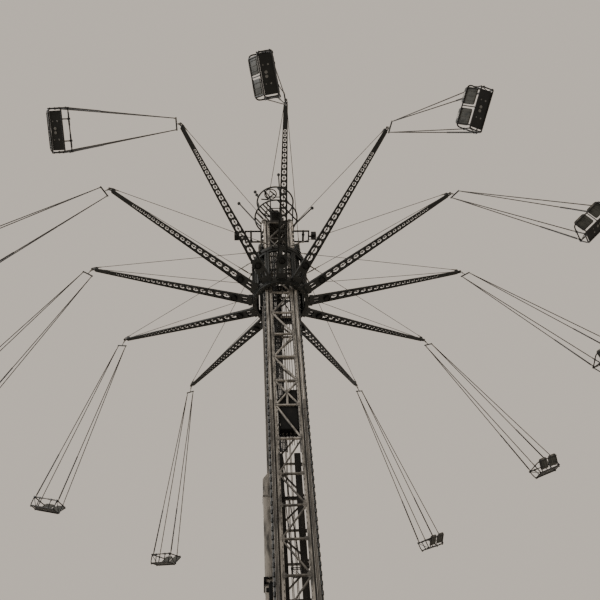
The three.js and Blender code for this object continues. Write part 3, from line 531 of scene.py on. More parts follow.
@dataclass
class Mast:
    """Square lattice mast: four angle chords with toothed rails, and four braced sides."""

    half: float = 0.525
    leg: float = 0.13
    wall: float = 0.06
    bevel: float = 0.045
    foot: float = 0.0403
    first: float = 0.35
    lower_bay: float = 0.945
    lower_bays: int = 16
    joint_bays: tuple[float, ...] = (1.14, 1.18, 0.93)
    upper_bay: float = 0.97
    upper_bays: int = 8
    cross_bay: int = 18
    joint: float = 17.79  # the chords' dark length ends here
    pale_from: float = 16.2  # bars are pale from here up to the head
    head_start: float = 24.7  # the chords are near white from here up: pale paint with painted sunlight
    panel_face: float = 0.505
    panel_depth: float = 0.05
    panel_half: float = 0.3947
    strip_edge: float = 0.355
    strip_low: float = 0.315
    opening: float = 0.275
    back_opening: float = 0.365
    notch_pitch: float = 0.16
    tooth_start: float = 0.35
    tooth_pitch: float = 0.24
    tooth_tall: float = 0.12
    pad: tuple[float, float] = (0.435, 0.479)
    splice_bays: int = 6
    splice_reach: float = 0.17
    splice_thick: float = 0.01
    guide: tuple[float, float] = (0.148, 0.314)
    guide_inner: float = 0.3747
    guide_outer: float = 0.4547
    guide_top: float = 16.9

    def lines(self) -> Array:
        """Heights of the horizontals, from the ground up."""
        bays = [self.lower_bay] * self.lower_bays + [*self.joint_bays] + [self.upper_bay] * self.upper_bays
        return self.first + np.concatenate([[0.0], np.cumsum(bays)])

    @property
    def top(self) -> float:
        """Height of the mast's upper end."""
        return float(self.lines()[-1]) + 0.035

    def bar_coat(self, height: float) -> Coat:
        """The paint of a horizontal or diagonal at a height."""
        return Coat.PALE_PAINT if self.pale_from < height < self.head_start else Coat.MAST_PAINT

    def mirrored(self, spans: Sequence[tuple[float, float]], face: float, proud: float) -> Form:
        """Upright flat bars on both outer faces of the +X +Y chord, over its whole height.

        Args:
            spans: Where each bar starts and ends across a face.
            face: Distance of the face from the mast's axis.
            proud: How far the bars stand out of it; below zero for a face that looks inward.

        Returns:
            One form with every bar.
        """
        low, high, sunk = self.foot + 0.02, self.top - 0.03, 0.002
        near, far = sorted((face - np.sign(proud) * sunk, face + proud))
        forms = []
        for start, stop in spans:
            forms.append(block((near, start, low), (far, stop, high)))
            forms.append(block((start, near, low), (stop, far, high)))
        return joined(forms)

    def chord(self) -> Dressed:
        """The chord in the +X +Y corner: three lengths of angle, lips, dark bars of painted shade, toothed
        rail, splices.
        """
        far, wall, leg = self.half, self.half - self.wall, self.half - self.leg
        nose = far - self.bevel
        outline = np.array([[leg, wall], [wall, wall], [wall, leg], [far, leg], [far, nose], [nose, far],
                            [leg, far]])
        levels = (self.foot, self.joint, self.head_start, self.top)
        rings = [np.column_stack([outline, np.full(len(outline), z)]) for z in levels]
        # The head length's near white is pale paint with painted sunlight
        coats = (Coat.MAST_PAINT, Coat.UPPER_PAINT, Coat.SUNLIT_HEAD_PAINT)
        lengths = [(skin(np.stack(ends)), coat) for *ends, coat in zip(rings, rings[1:], coats)]
        lips = self.mirrored([(leg + 0.002, leg + 0.012), (leg + 0.07, leg + 0.08)], far, 0.009)
        # Dark bars of painted shade: the seams paint the shade in the grooves by the lips, the liner paints
        # the shade on the chord's inner faces
        shade_seams = self.mirrored([(leg + 0.016, leg + 0.024), (leg + 0.058, leg + 0.068)], far, 0.003)
        shade_liner = self.mirrored([(leg + 0.004, wall - 0.004)], wall, -0.003)
        return [*lengths, (lips, Coat.PALE_PAINT), (joined([shade_seams, shade_liner]), Coat.PRIMER_AND_SHADE),
                (self.toothed_rail(), Coat.DARK_ENAMEL), *self.splices()]

    def toothed(self, form: Form, headroom: float) -> Form:
        """A form at every tooth's place, up to a headroom below the mast's top."""
        count = int((self.top - headroom) / self.tooth_pitch)
        return form.repeated(rises(self.tooth_start, self.tooth_pitch, count))

    def toothed_rail(self) -> Form:
        """Flat bar on the bevel with a tooth at every pitch, seen as dashes on the mast's outline."""
        across = (self.half - self.bevel / 2) * 2 ** 0.5
        bar = block((across - 0.002, -0.028, 0.3), (across + 0.006, 0.028, self.top - 1.9))
        tooth = block((across, -0.024, 0), (across + 0.036, 0.024, self.tooth_tall), 0.006)
        return joined([bar, self.toothed(tooth, 0.6)]).moved(turn(pi / 4))

    def dashes(self, along_x: bool) -> Form:
        """Thin dark pads beside the teeth, on the one face of the chord that looks left or right."""
        (start, stop), near, far = self.pad, self.half - 0.002, self.half + 0.003
        low, high = ((near, start), (far, stop)) if along_x else ((start, near), (stop, far))
        return self.toothed(block((*low, 0), (*high, self.tooth_tall), 0.001), 2.4)

    def splices(self) -> Dressed:
        """Bolted plates over each joint of the chord's lengths."""
        face, leg, reach = self.half, self.half - self.leg, self.splice_reach
        low, high, row_at, out = leg + 0.008, leg + 0.083, leg + 0.0705, self.half + self.splice_thick
        plates, heads = [], []
        for height in self.lines()[self.splice_bays::self.splice_bays]:
            plates.append(block((face, low, height - reach), (out, high, height + reach)))
            plates.append(block((low, face, height - reach), (high, out, height + reach)))
            rows = [height + offset for offset in (-0.13, -0.05, 0.05, 0.13)]
            heads.append(bolts([(out, row_at, row) for row in rows], (1, 0, 0), 0.011))
            heads.append(bolts([(row_at, out, row) for row in rows], (0, 1, 0), 0.011))
        return [(joined(plates), Coat.MAST_PAINT), (joined(heads), Coat.ZINC)]

    def strips(self, opening: float) -> Dressed:
        """A side's edge strips with inner flanges, and dark bars of painted shade: a row in the strips'
        notches and one in the slit by the chord.

        Args:
            opening: Half the width left free between the strips.

        Returns:
            The strips, and the dark bars of painted shade in the slit and the notches.
        """
        face, back = -self.panel_face, -self.panel_face + self.panel_depth
        low, wide = self.strip_low, self.strip_edge - opening > 0.02
        outer = self.strip_edge if wide else self.panel_half
        places = rises(low + 0.05, self.notch_pitch, int((self.top - low) / self.notch_pitch))

        def upright(side: int, inner: float, edge: float, front: float, rear: float) -> Form:
            """Flat bar over the side's whole height."""
            near, far = span(side, inner, edge)
            return block((near, front, low), (far, rear, self.top))

        plates, painted_shade_bars = [], []
        for side in (-1, 1):
            # Dark bar behind the strip that paints the shade in the slit between the strip and the chord
            painted_shade_bars.append(upright(side, opening, self.panel_half, face + 0.004, face + 0.014))
            plates.append(upright(side, opening, outer, face, face + 0.012))
            plates.append(upright(side, opening, opening + 0.014, face + 0.008, back))
            if wide:
                plates.append(upright(side, opening + 0.034, opening + 0.042, face - 0.008, face + 0.002))
                # Dark block that paints the shade in a notch of the strip's inner edge
                near, far = span(side, opening + 0.012, opening + 0.026)
                shade_notch = block((near, face - 0.003, 0), (far, face + 0.004, 0.06), 0.003)
                painted_shade_bars.append(shade_notch.repeated(places))
        return [(joined(plates), Coat.PALE_PAINT), (joined(painted_shade_bars), Coat.PRIMER_AND_SHADE)]

    def side(self, opening: float) -> Dressed:
        """The side that faces -Y: edge strips, horizontals, diagonals and gusset plates.

        Args:
            opening: Half the width left free between the edge strips.

        Returns:
            The side's forms.
        """
        face = -self.panel_face
        middle = face + self.panel_depth / 2
        heights = self.lines()
        member, slim = oblong(0.066, 0.040, 0.007, 2), oblong(0.056, 0.034, 0.006, 2)
        line = swept([(-opening - 0.02, middle, 0), (opening + 0.02, middle, 0)], member)
        reach = opening + 0.012
        bars: dict[Coat, list[Form]] = {Coat.MAST_PAINT: [], Coat.PALE_PAINT: []}
        for height in heights:
            bars[self.bar_coat(height)].append(line.moved(shift(0, 0, height)))
        for index, (low, high) in enumerate(zip(heights[:-1], heights[1:])):
            height, rise = (low + high) / 2, (high - low) / 2 - 0.045
            crossed = index == self.cross_bay
            made = bars[self.bar_coat(height)]
            for sign in (1, -1) if crossed else ((-1) ** index,):
                made.append(swept([(-reach, middle, height - sign * rise),
                                   (reach, middle, height + sign * rise)], slim))
            if crossed:
                made.append(swept([(0, middle, low + 0.02), (0, middle, high - 0.02)], slim, (0, 1, 0)))
        gusset = block((-0.06, face - 0.001, -0.06), (0.045, face + 0.008, 0.06), 0.003)
        corners = [(sign * (opening + 0.005), 0, height) for height in heights for sign in (-1, 1)]
        rivets = bolts([(x + 0.035 * np.sign(x), face - 0.001, z + dz) for x, _, z in corners
                        for dz in (0.03, -0.03)], (0, -1, 0), 0.008)
        return [*self.strips(opening), *((joined(forms), coat) for coat, forms in bars.items()),
                (gusset.repeated(shifts(corners)), Coat.MAST_PAINT), (rivets, Coat.ZINC)]

    def guides(self) -> Dressed:
        """Two box guides up the inside of the back side, with lips, ties and bolts."""
        inner, low, high = self.guide_inner, self.foot, self.guide_top
        joints = self.lines()[:self.lower_bays + 1]
        forms, heads = [], []
        for side in (-1, 1):
            x0, x1 = span(side, *self.guide)
            forms.append(block((x0, inner + 0.006, low), (x1, self.guide_outer, high), 0.006))
            forms += [block((x, inner, low + 0.05), (x + 0.014, inner + 0.02, high - 0.03), 0.003)
                      for x in (x0, x1 - 0.014)]
            spots = [(side * 0.231, inner + 0.006, z) for z in joints]
            heads.append(bolts(spots, (0, -1, 0), 0.014))
        tie = self.guide[0] + 0.01
        for height in joints[1::5]:
            forms.append(block((-tie, inner + 0.02, height - 0.025),
                               (tie, inner + 0.05, height + 0.025), 0.005))
        return [(joined(forms), Coat.PRIMER_AND_SHADE), (joined(heads), Coat.ZINC)]

    def build(self) -> None:
        """Makes the chords and the sides."""
        chord, side, back = self.chord(), self.side(self.opening), self.side(self.back_opening)
        for corner, name in enumerate(("front", "right", "back", "left")):
            placing, number = turn(corner * pi / 2), f"{corner + 1:02d}"
            parts = moved_all([*chord, (self.dashes(corner % 2 == 0), Coat.DARK_ENAMEL)], placing)
            piece(f"mast_rail_chord_{number}", "mast", parts, [f"mast_chord_{number}"])
            parts = moved_all(back if name == "back" else side, placing)
            piece(f"mast_lattice_{name}", "mast", parts, [f"mast_side_{name}"])
        piece("hoist_guide_rails", "mast", self.guides(), ["hoist_guides"])


@dataclass
class Shaft:
    """What runs up inside the mast: hoist ropes, a cable tray and the junction box."""

    rope_radius: float = 0.009
    rope_x: tuple[float, ...] = (-0.109, -0.081, 0.001, 0.029)
    rope_y: float = -0.21
    rope_low: float = 0.25
    rope_high: float = 26.83
    control_x: tuple[float, ...] = (0.1, 0.16, 0.23)
    control_y: float = 0.15
    control_high: float = 26.51
    tray_x: tuple[float, float] = (-0.215, -0.02)
    tray_y: float = 0.41
    tray_low: float = 16.95
    tray_high: float = 26.1
    tray_cable_x: tuple[float, ...] = (-0.188, -0.148, -0.108, -0.052)
    lone_cable_x: float = 0.335
    rung_pitch: float = 0.25
    box_low: float = 16.96
    box_step: float = 18.045
    box_high: float = 18.4
    box_left: float = -0.235
    box_right: float = 0.265
    box_deep: float = 0.3
    head_left: float = -0.12
    head_deep: float = 0.26
    hinge_tall: float = 0.07
    gland_x: tuple[float, ...] = (-0.15, -0.05, 0.05, 0.15)

    def ropes(self) -> Form:
        """The falls that run from the foot to the head sheaves, and the control cables beside them."""
        falls = [(x, self.rope_y, self.rope_low, self.rope_high) for x in self.rope_x]
        controls = [(x, self.control_y, self.tray_low, self.control_high) for x in self.control_x]
        return joined([rod((x, y, low), (x, y, high), self.rope_radius, 8)
                       for x, y, low, high in falls + controls])

    def tray(self) -> Dressed:
        """Cable ladder on the back side with its cables, and one cable by itself."""
        (x0, x1), y, low, high = self.tray_x, self.tray_y, self.tray_low, self.tray_high
        stiles = [block((x - 0.012, y - 0.02, low), (x + 0.012, y + 0.02, high)) for x in (x0, x1)]
        rung = rod((x0, y, 0), (x1, y, 0), 0.011, 6)
        rungs = rung.repeated(rises(low + 0.1, self.rung_pitch, int((high - low) / self.rung_pitch)))
        front = y - 0.026
        cables = [rod((x, front, low), (x, front, high - 0.2), 0.016, 8) for x in self.tray_cable_x]
        cables.append(rod((self.lone_cable_x, y, low), (self.lone_cable_x, y, high), 0.017, 8))
        return [(joined(stiles + [rungs]), Coat.DARK_ENAMEL), (joined(cables), Coat.HOSE)]

    def junction_box(self) -> Dressed:
        """Stepped steel box behind the front side, with doors, hinges, glands and hanging loops of cable."""
        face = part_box("junction_box")[0][1]
        low, step, high = self.box_low, self.box_step, self.box_high
        left, right, head_left, overlap = self.box_left, self.box_right, self.head_left, 0.005
        shells = [block((left, face, low), (right, face + self.box_deep, step + overlap), 0.01),
                  block((head_left, face, step - overlap), (right, face + self.head_deep, high), 0.01)]
        near, far, margin, head_margin = face - 0.004, face + 0.01, 0.025, 0.02
        doors = [block((left + margin, near, low + 0.03), (right - margin, far, step - 0.06)),
                 block((head_left + head_margin, near, step + 0.02), (right - head_margin, far, high - 0.03))]
        hinge = rod((left + 0.02, face - 0.006, 0), (left + 0.02, face - 0.006, self.hinge_tall), 0.009, 8)
        hinges = hinge.repeated(shifts([(0, 0, low + 0.12), (0, 0, step - 0.25)]))
        gland_y, gland = face + 0.15, [(-0.01, 0.02), (0.02, 0.02), (0.05, 0.013)]
        glands = [spindle((x, gland_y, low), (0, 0, -1), gland, 10) for x in self.gland_x]
        # Each loop hangs in a parabola between two glands that have one between them
        share, sag = np.linspace(0, 1, 15), 0.62
        height = low - 0.03 - sag * share * (1 - share)
        loops = []
        for start, stop in zip(self.gland_x, self.gland_x[2:]):
            path = np.stack([start + (stop - start) * share, np.full(15, gland_y), height], axis=-1)
            loops.append(swept(path, circle(0.013, 8), (0, 1, 0)))
        return [(joined(shells + doors), Coat.RUBBER), (joined([hinges, *glands]), Coat.ZINC),
                (joined(loops), Coat.HOSE)]

    def build(self) -> None:
        """Makes the ropes, tray and box."""
        piece("hoist_ropes", "mast", [(self.ropes(), Coat.WIRE_ROPE)])
        piece("cable_tray", "mast", self.tray())
        piece("junction_cabinet", "mast", self.junction_box(), ["junction_box"])


@dataclass
class Duct:
    """Closed cable duct on the mast's left side, with joint collars, a clamp and a riser above it."""

    low: float = 0.36
    high: float = 15.9
    near: float = 0.5053
    far: float = 0.7
    half: float = 0.15
    slope_drop: float = 0.3
    joint_pitch: float = 2.45
    clamp_height: float = 12.66
    collar_proud: float = 0.008
    clamp_proud: float = 0.03
    riser_high: float = 22.4
    riser_half: float = 0.11
    rung_pitch: float = 0.3
    hose_y: tuple[float, ...] = (-0.06, -0.02, 0.03, 0.07)

    def collar(self, height: float, proud: float, tall: float) -> Form:
        """Flat band round the duct's three free sides."""
        return block((-self.far - proud, -self.half - proud, height),
                     (-self.near - 0.02, self.half + proud, height + tall))

    def shell(self) -> Form:
        """The duct's skin, whose head slopes down to the outside."""
        outline = oblong(self.far - self.near, 2 * self.half, 0.012, 2) - [(self.far + self.near) / 2, 0]
        share = (-outline[:, 0] - self.near) / (self.far - self.near)
        foot = np.column_stack([outline, np.full(len(outline), self.low)])
        head = np.column_stack([outline, self.high - self.slope_drop * share])
        return skin(np.stack([foot, head]))

    def clamp(self) -> Form:
        """Two bands with a plate between them, and an arm and a box that hang below."""
        low, face, proud = self.clamp_height, -self.half, self.clamp_proud
        return joined([self.collar(low, proud, 0.04), self.collar(low + 0.13, proud, 0.04),
                       block((-self.far - 0.028, face - 0.03, low),
                             (-self.far + 0.03, face + 0.03, low + 0.16)),
                       block((-0.62, face - 0.04, low - 0.42), (-0.54, face + 0.01, low + 0.05), 0.01),
                       block((-0.68, face - 0.03, low - 0.2), (-0.6, face + 0.01, low - 0.1), 0.01)])

    def riser(self) -> Dressed:
        """Open cable ladder that goes on above the duct, with its bundle tied to each rung."""
        low, high, near, far = self.high - 0.2, self.riser_high, self.near + 0.004, self.near + 0.075
        half = self.riser_half
        rails = [block((-far, y - 0.008, low), (-near, y + 0.008, high), 0.003) for y in (-half, half)]
        rung = block((-far + 0.01, -half, 0), (-far + 0.03, half, 0.02), 0.003)
        clip = block((-far - 0.004, -0.08, 0.1), (-far + 0.03, 0.08, 0.16), 0.006)
        places = shifts([(0, 0, z) for z in np.arange(low + 0.1, high, self.rung_pitch)])
        hoses = [rod((-far + 0.014, y, low), (-far + 0.014, y, high - 0.1), 0.017, 8) for y in self.hose_y]
        return [(joined([*rails, rung.repeated(places)]), Coat.MAST_PAINT),
                (joined([*hoses, clip.repeated(places)]), Coat.HOSE)]

    def build(self) -> None:
        """Makes the duct and its riser."""
        heights = np.arange(self.low + self.joint_pitch, self.high - 0.5, self.joint_pitch)
        collars = joined([self.collar(z, self.collar_proud, 0.05) for z in heights])
        screws = [(-self.far - self.collar_proud, y, z + 0.025) for z in heights for y in (-0.1, 0, 0.1)]
        heads = [(-0.6, -self.half - self.clamp_proud, self.clamp_height + up) for up in (0.02, 0.15)]
        parts = [(self.shell(), Coat.PALE_PAINT), (collars, Coat.MAST_PAINT),
                 (bolts(screws, (-1, 0, 0), 0.009), Coat.ZINC), (self.clamp(), Coat.RUBBER),
                 (bolts(heads, (0, -1, 0), 0.022), Coat.ZINC)]
        piece("cable_duct_cover", "mast", parts, ["cable_duct"])
        piece("cable_riser", "mast", self.riser())


@dataclass
class Base:
    """Bolted base plate, four outriggers on the diagonals, feet and knee braces."""

    plate_half: float = 0.75
    plate_thick: float = 0.04
    start: float = 0.716
    reach: float = 2.9
    width: float = 0.26
    height: float = 0.32
    foot_half: float = 0.3
    rib_pitch: float = 0.45
    brace_foot: float = 2.4
    brace_head: float = 0.771
    brace_top: float = 2.3
    brace_radius: float = 0.057

    def outrigger(self) -> Dressed:
        """One outrigger along +X: welded box beam with ribs, foot plate, anchors and brace."""
        half, reach, height = self.width / 2, self.reach, self.height
        thick, wide = self.plate_thick, self.foot_half
        steel = [block((self.start, -half, 0.02), (reach, half, height), 0.01)]
        steel += [block((self.start, -half - 0.015, z), (reach + 0.01, half + 0.015, z + 0.018), 0.004)
                  for z in (0.02, height - 0.012)]
        steel += [block((x, -half - 0.012, 0.03), (x + 0.012, half + 0.012, height), 0.003)
                  for x in np.arange(1.0, reach - 0.2, self.rib_pitch)]
        steel.append(block((reach - wide, -wide, 0), (reach + wide, wide, thick), 0.006))
        steel += [block((reach, y - 0.006, thick), (reach + 0.2, y + 0.006, 0.2), 0.003)
                  for y in (-0.09, 0.09)]
        steel.append(rod((self.brace_foot, 0, height - 0.02), (self.brace_head, 0, self.brace_top),
                         self.brace_radius, 24))
        steel += [block((self.brace_foot - 0.12, y - 0.008, height - 0.01),
                        (self.brace_foot + 0.1, y + 0.008, height + 0.13), 0.003) for y in (-0.07, 0.07)]
        steel.append(block((0.7109, -0.03, 2.1), (0.79, 0.03, 2.45), 0.006))
        pin_at, pin_height, anchor = self.brace_foot - 0.05, height + 0.06, 0.23
        pin = rod((pin_at, -0.1, pin_height), (pin_at, 0.1, pin_height), 0.022, 12)
        anchors = [(reach + x, y, thick) for x in (-anchor, anchor) for y in (-anchor, anchor)]
        return [(joined(steel), Coat.DARK_ENAMEL),
                (joined([bolts(anchors, (0, 0, 1), 0.03), pin]), Coat.ZINC)]

    def build(self) -> None:
        """Makes the base."""
        half, edge, inner = self.plate_half, 0.68, 0.3
        plate = block((-half, -half, 0), (half, half, self.plate_thick), 0.006)
        heads = [(x, y, self.plate_thick) for x in (-edge, -inner, inner, edge) for y in (-edge, edge)]
        heads += [(y, x, z) for x, y, z in heads if abs(x) < edge]
        parts = [(plate, Coat.DARK_ENAMEL), (bolts(heads, (0, 0, 1), 0.028), Coat.ZINC),
                 *repeated_all(self.outrigger(), turns(4, pi / 4))]
        piece("base_outriggers", "mast", parts, ["base_frame"])


@dataclass
class Crown:
    """Mast head: cap, sheaves, slatted round deck under a smaller hoop, ball rods and side brackets."""

    cap_low: float = 26.5153
    cap_top: float = 26.5653
    half: float = 0.535
    dome_at: float = 0.42
    skirt_from: float = 0.39
    deck_radius: float = 0.742
    deck_height: float = 27.52
    high_radius: float = 0.65
    high_height: float = 28.55
    ring_radius: float = 0.21
    ring_at: tuple[float, float] = (-0.17, -0.36)
    box_high: float = 0.33
    fin_pitch: float = 0.05
    slat_angle: float = radians(51)
    slats: tuple[float, ...] = (-0.5, -0.115, 0.005, 0.13, 0.26, 0.39, 0.56)
    post_x: float = 0.185
    post_y: float = 0.24
    strut_start: float = radians(218)
    strut_twist: float = radians(-33)
    cross_bars: tuple[Sequence[tuple[float, float]], ...] = (
        ((-0.51, -0.14), (-0.26, -0.12)), ((-0.4, -0.5), (-0.26, -0.16)),
        ((-0.3, -0.12), (-0.04, -0.37)), ((-0.19, -0.49), (0.03, -0.28)))
    ball: float = 0.062
    sheave_middle: float = -0.04
    sheave_axle: float = 0.27
    bracket_low: float = 26.33
    bracket_high: float = 26.38
    bracket_half: float = 0.24
    bracket_near: float = 0.5253
    bracket_far: float = 1.105
    bracket_rail: float = 0.045
    bracket_beam: float = 0.44
    bracket_rung: tuple[float, float] = (0.86, 0.925)
    lamp_long: float = 0.17
    lamp_half: float = 0.115
    lamp_fins: int = 6
    lamp_fin_pitch: float = 0.027

    @property
    def stand(self) -> float:
        """Height of whatever stands on the cap."""
        return self.cap_top + AIR

    def on_circle(self, radius: float, angle: Array | float, height: float) -> Array:
        """Points on a level circle, or the one point of a single angle."""
        return np.stack([radius * np.cos(angle), radius * np.sin(angle), height + 0 * angle], axis=-1)

    def hoop(self, radius: float, height: float, thick: float) -> Form:
        """Round tube bent into a level circle."""
        path = self.on_circle(radius, np.arange(64) * 2 * pi / 64, height)
        return swept(path, circle(thick, 12), looped=True)

    def deck(self) -> list[Form]:
        """Both hoops and the hose ring, the deck's plate, its finned box and the parallel slats."""
        deck, high, x = self.deck_height, self.high_height, self.post_x
        forms = [self.hoop(self.deck_radius, deck, 0.027), self.hoop(self.high_radius, high, 0.029),
                 self.hoop(self.ring_radius, high - 0.02, 0.018).moved(shift(*self.ring_at, 0)),
                 block((-x, -self.post_y, deck - 0.015), (0.12, self.post_y, deck + 0.015)),
                 block((-x, -0.13, deck), (0.1, 0.13, deck + self.box_high), 0.02)]
        fin = block((-x - 0.008, -0.12, 0), (0.108, 0.12, 0.012), 0.003)
        forms.append(fin.repeated(rises(deck + self.fin_pitch, self.fin_pitch, 5)))
        for offset in self.slats:
            reach = ((self.deck_radius - 0.01) ** 2 - offset ** 2) ** 0.5
            slat = swept([(-reach, offset, deck), (reach, offset, deck)], oblong(0.046, 0.026, 0.004))
            forms.append(slat.moved(turn(self.slat_angle)))
        return forms

    def posts(self) -> list[Form]:
        """Four posts with foot plates, spokes out to the upper hoop and a rail over each pair."""
        high, forms = self.high_height, []
        for y in (-self.post_y, self.post_y):
            for x in (-self.post_x, self.post_x):
                foot = np.array([x, y, self.stand])
                forms.append(block(foot - [0.045, 0.045, 0], foot + [0.045, 0.045, 0.012]))
                forms.append(block(foot - [0.02, 0.02, 0], (x + 0.02, y + 0.02, high), 0.006))
                outer = self.on_circle(self.high_radius, atan2(y, x), high)
                forms.append(rod((x, y, high - 0.02), outer, 0.02))
            forms.append(block((-self.post_x, y - 0.012, high - 0.04), (self.post_x, y + 0.012, high)))
        return forms

    def cage(self) -> Form:
        """Deck, posts, leaning struts between the hoops, short bars across the upper one, beacons."""
        high, forms = self.high_height, [*self.deck(), *self.posts()]
        for index in range(4):
            angle = self.strut_start + index * pi / 2
            foot = self.on_circle(self.deck_radius, angle, self.deck_height)
            forms.append(rod(foot, self.on_circle(self.high_radius, angle + self.strut_twist, high), 0.026))
        forms += [rod((*start, high), (*stop, high), 0.024) for start, stop in self.cross_bars]
        # Two small balls on a stub at the upper hoop's left
        near, far = np.array([-0.62, -0.19, 28.6]), np.array([-0.72, -0.2, 28.95])
        forms += [rod(near, far, 0.024), ball(far, self.ball, 14),
                  ball(near + (far - near) * 0.45, 0.058, 14)]
        return joined(forms)

    def ball_rod(self, foot: Sequence, tip: Sequence, radius: float) -> Dressed:
        """Lightning rod: plate, stem with a thicker socket, and ball."""
        foot, tip = np.array(foot), np.array(tip)
        length = float(np.linalg.norm(tip - foot))
        plate = block(foot - [0.05, 0.05, 0], foot + [0.05, 0.05, 0.02], 0.003)
        steps = [(0, radius + 0.01), (0.09, radius + 0.01), (0.1, radius), (length - 0.03, radius)]
        stem = spindle(foot + [0, 0, 0.012], tip - foot, steps)
        return [(joined([plate, stem, ball(tip, self.ball, 20)]), Coat.DARK_ENAMEL)]

    def sheaves(self) -> Dressed:
        """Grooved sheave pair in its bearing frame."""
        low, middle = self.stand, self.sheave_middle
        height = low + self.sheave_axle
        bearings = [block((middle - 0.13, -0.15, low), (middle + 0.14, 0.15, low + 0.03), 0.005)]
        bearings += [block((x - 0.012, -0.11, low + 0.02), (x + 0.012, 0.11, low + 0.35), 0.006)
                     for x in (middle - 0.11, middle + 0.11)]
        rim = [(0.05, -0.016), (0.185, -0.02), (0.195, -0.023), (0.21, -0.023), (0.196, 0.0), (0.21, 0.023),
               (0.195, 0.023), (0.185, 0.02), (0.05, 0.016)]
        wheel = ringed(rim, 40).moved(turn(pi / 2, "Y"))
        wheels = wheel.repeated(shifts([(middle + x, 0, height) for x in (-0.055, 0.055)]))
        steps = [(0, 0.028), (0.01, 0.028), (0.011, 0.05), (0.24, 0.05), (0.241, 0.028), (0.26, 0.028)]
        axle = spindle((middle - 0.13, 0, height), (1, 0, 0), steps, 24)
        return [(joined(bearings), Coat.DARK_ENAMEL), (joined([wheels, axle]), Coat.ZINC)]

    def platform(self, lamp: float) -> Dressed:
        """Bracket platform out along +X: angle rails, rungs and a floodlight at its end.

        Args:
            lamp: Where the floodlight's body begins.

        Returns:
            The bracket's steelwork and the lamp's lens.
        """
        low, high, half, rail = self.bracket_low, self.bracket_high, self.bracket_half, self.bracket_rail
        near, far, beam = self.bracket_near, self.bracket_far, self.bracket_beam
        (rung_near, rung_far), middle = self.bracket_rung, (low + high) / 2
        gland = [(0, 0.05), (0.05, 0.05), (0.07, 0.03)]
        forms = [block((near, y, low), (far, y + rail, high)) for y in (-half, half - rail)]
        forms += [block((near, -beam, low - 0.06), (near + rail, beam, high + 0.06)),
                  block((far - rail, -half, low + 0.005), (far, half, high - 0.005)),
                  block((rung_near, -half, low - 0.03), (rung_far, half, high + 0.02), 0.012),
                  spindle((rung_near + 0.03, -0.12, low - 0.02), (0, 0, -1), gland, 14),
                  rod((far - 0.02, 0, middle), (lamp + 0.01, 0, middle), 0.03, 14)]
        lamp_end, wide, slim = lamp + self.lamp_long, self.lamp_half, self.lamp_half - 0.01
        forms.append(block((lamp, -wide, low - 0.04), (lamp_end, wide, high + 0.11), 0.012))
        fin = block((0.0, -slim, high + 0.105), (0.008, slim, high + 0.118), 0.002)
        places = [(lamp + 0.012 + self.lamp_fin_pitch * index, 0, 0) for index in range(self.lamp_fins)]
        forms.append(fin.repeated(shifts(places)))
        glass = block((lamp + 0.02, -0.1, low - 0.048), (lamp_end - 0.02, 0.1, low - 0.036), 0.004)
        return [(joined(forms), Coat.DARK_ENAMEL), (glass, Coat.LENS)]

    def cap(self) -> Dressed:
        """Square plate with a dome and a skirt at each corner, and two collars round the ropes."""
        half, low, top = self.half, self.cap_low, self.cap_top
        plate = block((-half, -half, low), (half, half, top), 0.012)
        dome = [(0, 0.126), (0.05, 0.12), (0.1, 0.1), (0.14, 0.066), (0.158, 0.03), (0.16, 0.01)]
        domes = spindle((self.dome_at, self.dome_at, top), (0, 0, 1), dome, 28).repeated(turns(4))
        skirt = block((self.skirt_from, self.skirt_from, low - 0.12), (half, half, low + 0.01), 0.02)
        collars = [spindle((x, -0.21, top - 0.06), (0, 0, 1), [(0, 0.03), (0.07, 0.03), (0.08, 0.02)], 14)
                   for x in (-0.095, 0.015)]
        return [(plate, Coat.PRIMER_AND_SHADE), (joined([domes, skirt.repeated(turns(4))]), Coat.PALE_PAINT),
                (joined(collars), Coat.ZINC)]

    def build(self) -> None:
        """Makes the mast head."""
        piece("head_cap", "mast", self.cap(), ["mast_cap"])
        piece("slatted_crown", "mast", [(self.cage(), Coat.DARK_ENAMEL)], ["crown_cage"])
        piece("rope_sheaves", "mast", self.sheaves(), ["head_sheaves"])
        top = self.stand
        rods = (("top_rod", (0.186, -0.026, top), (0.186, -0.026, 30.48), 0.024),
                ("left_rod", (-0.364, 0, top), (-1.311, 0, 28.49), 0.025),
                ("right_rod", (0.232, 0.1, top), (1.33, 0.06, 28.25), 0.025))
        for name, foot, tip, radius in rods:
            piece(f"lightning_{name}", "mast", self.ball_rod(foot, tip, radius), [name])
        for name, angle, lamp in (("right", 0.0, 1.17), ("left", pi, 1.295)):
            parts = moved_all(self.platform(lamp), turn(angle))
            piece(f"lamp_platform_{name}", "mast", parts, [f"side_platform_{name}"])


# Carriage and star, with heights from the plane of the arms' tips

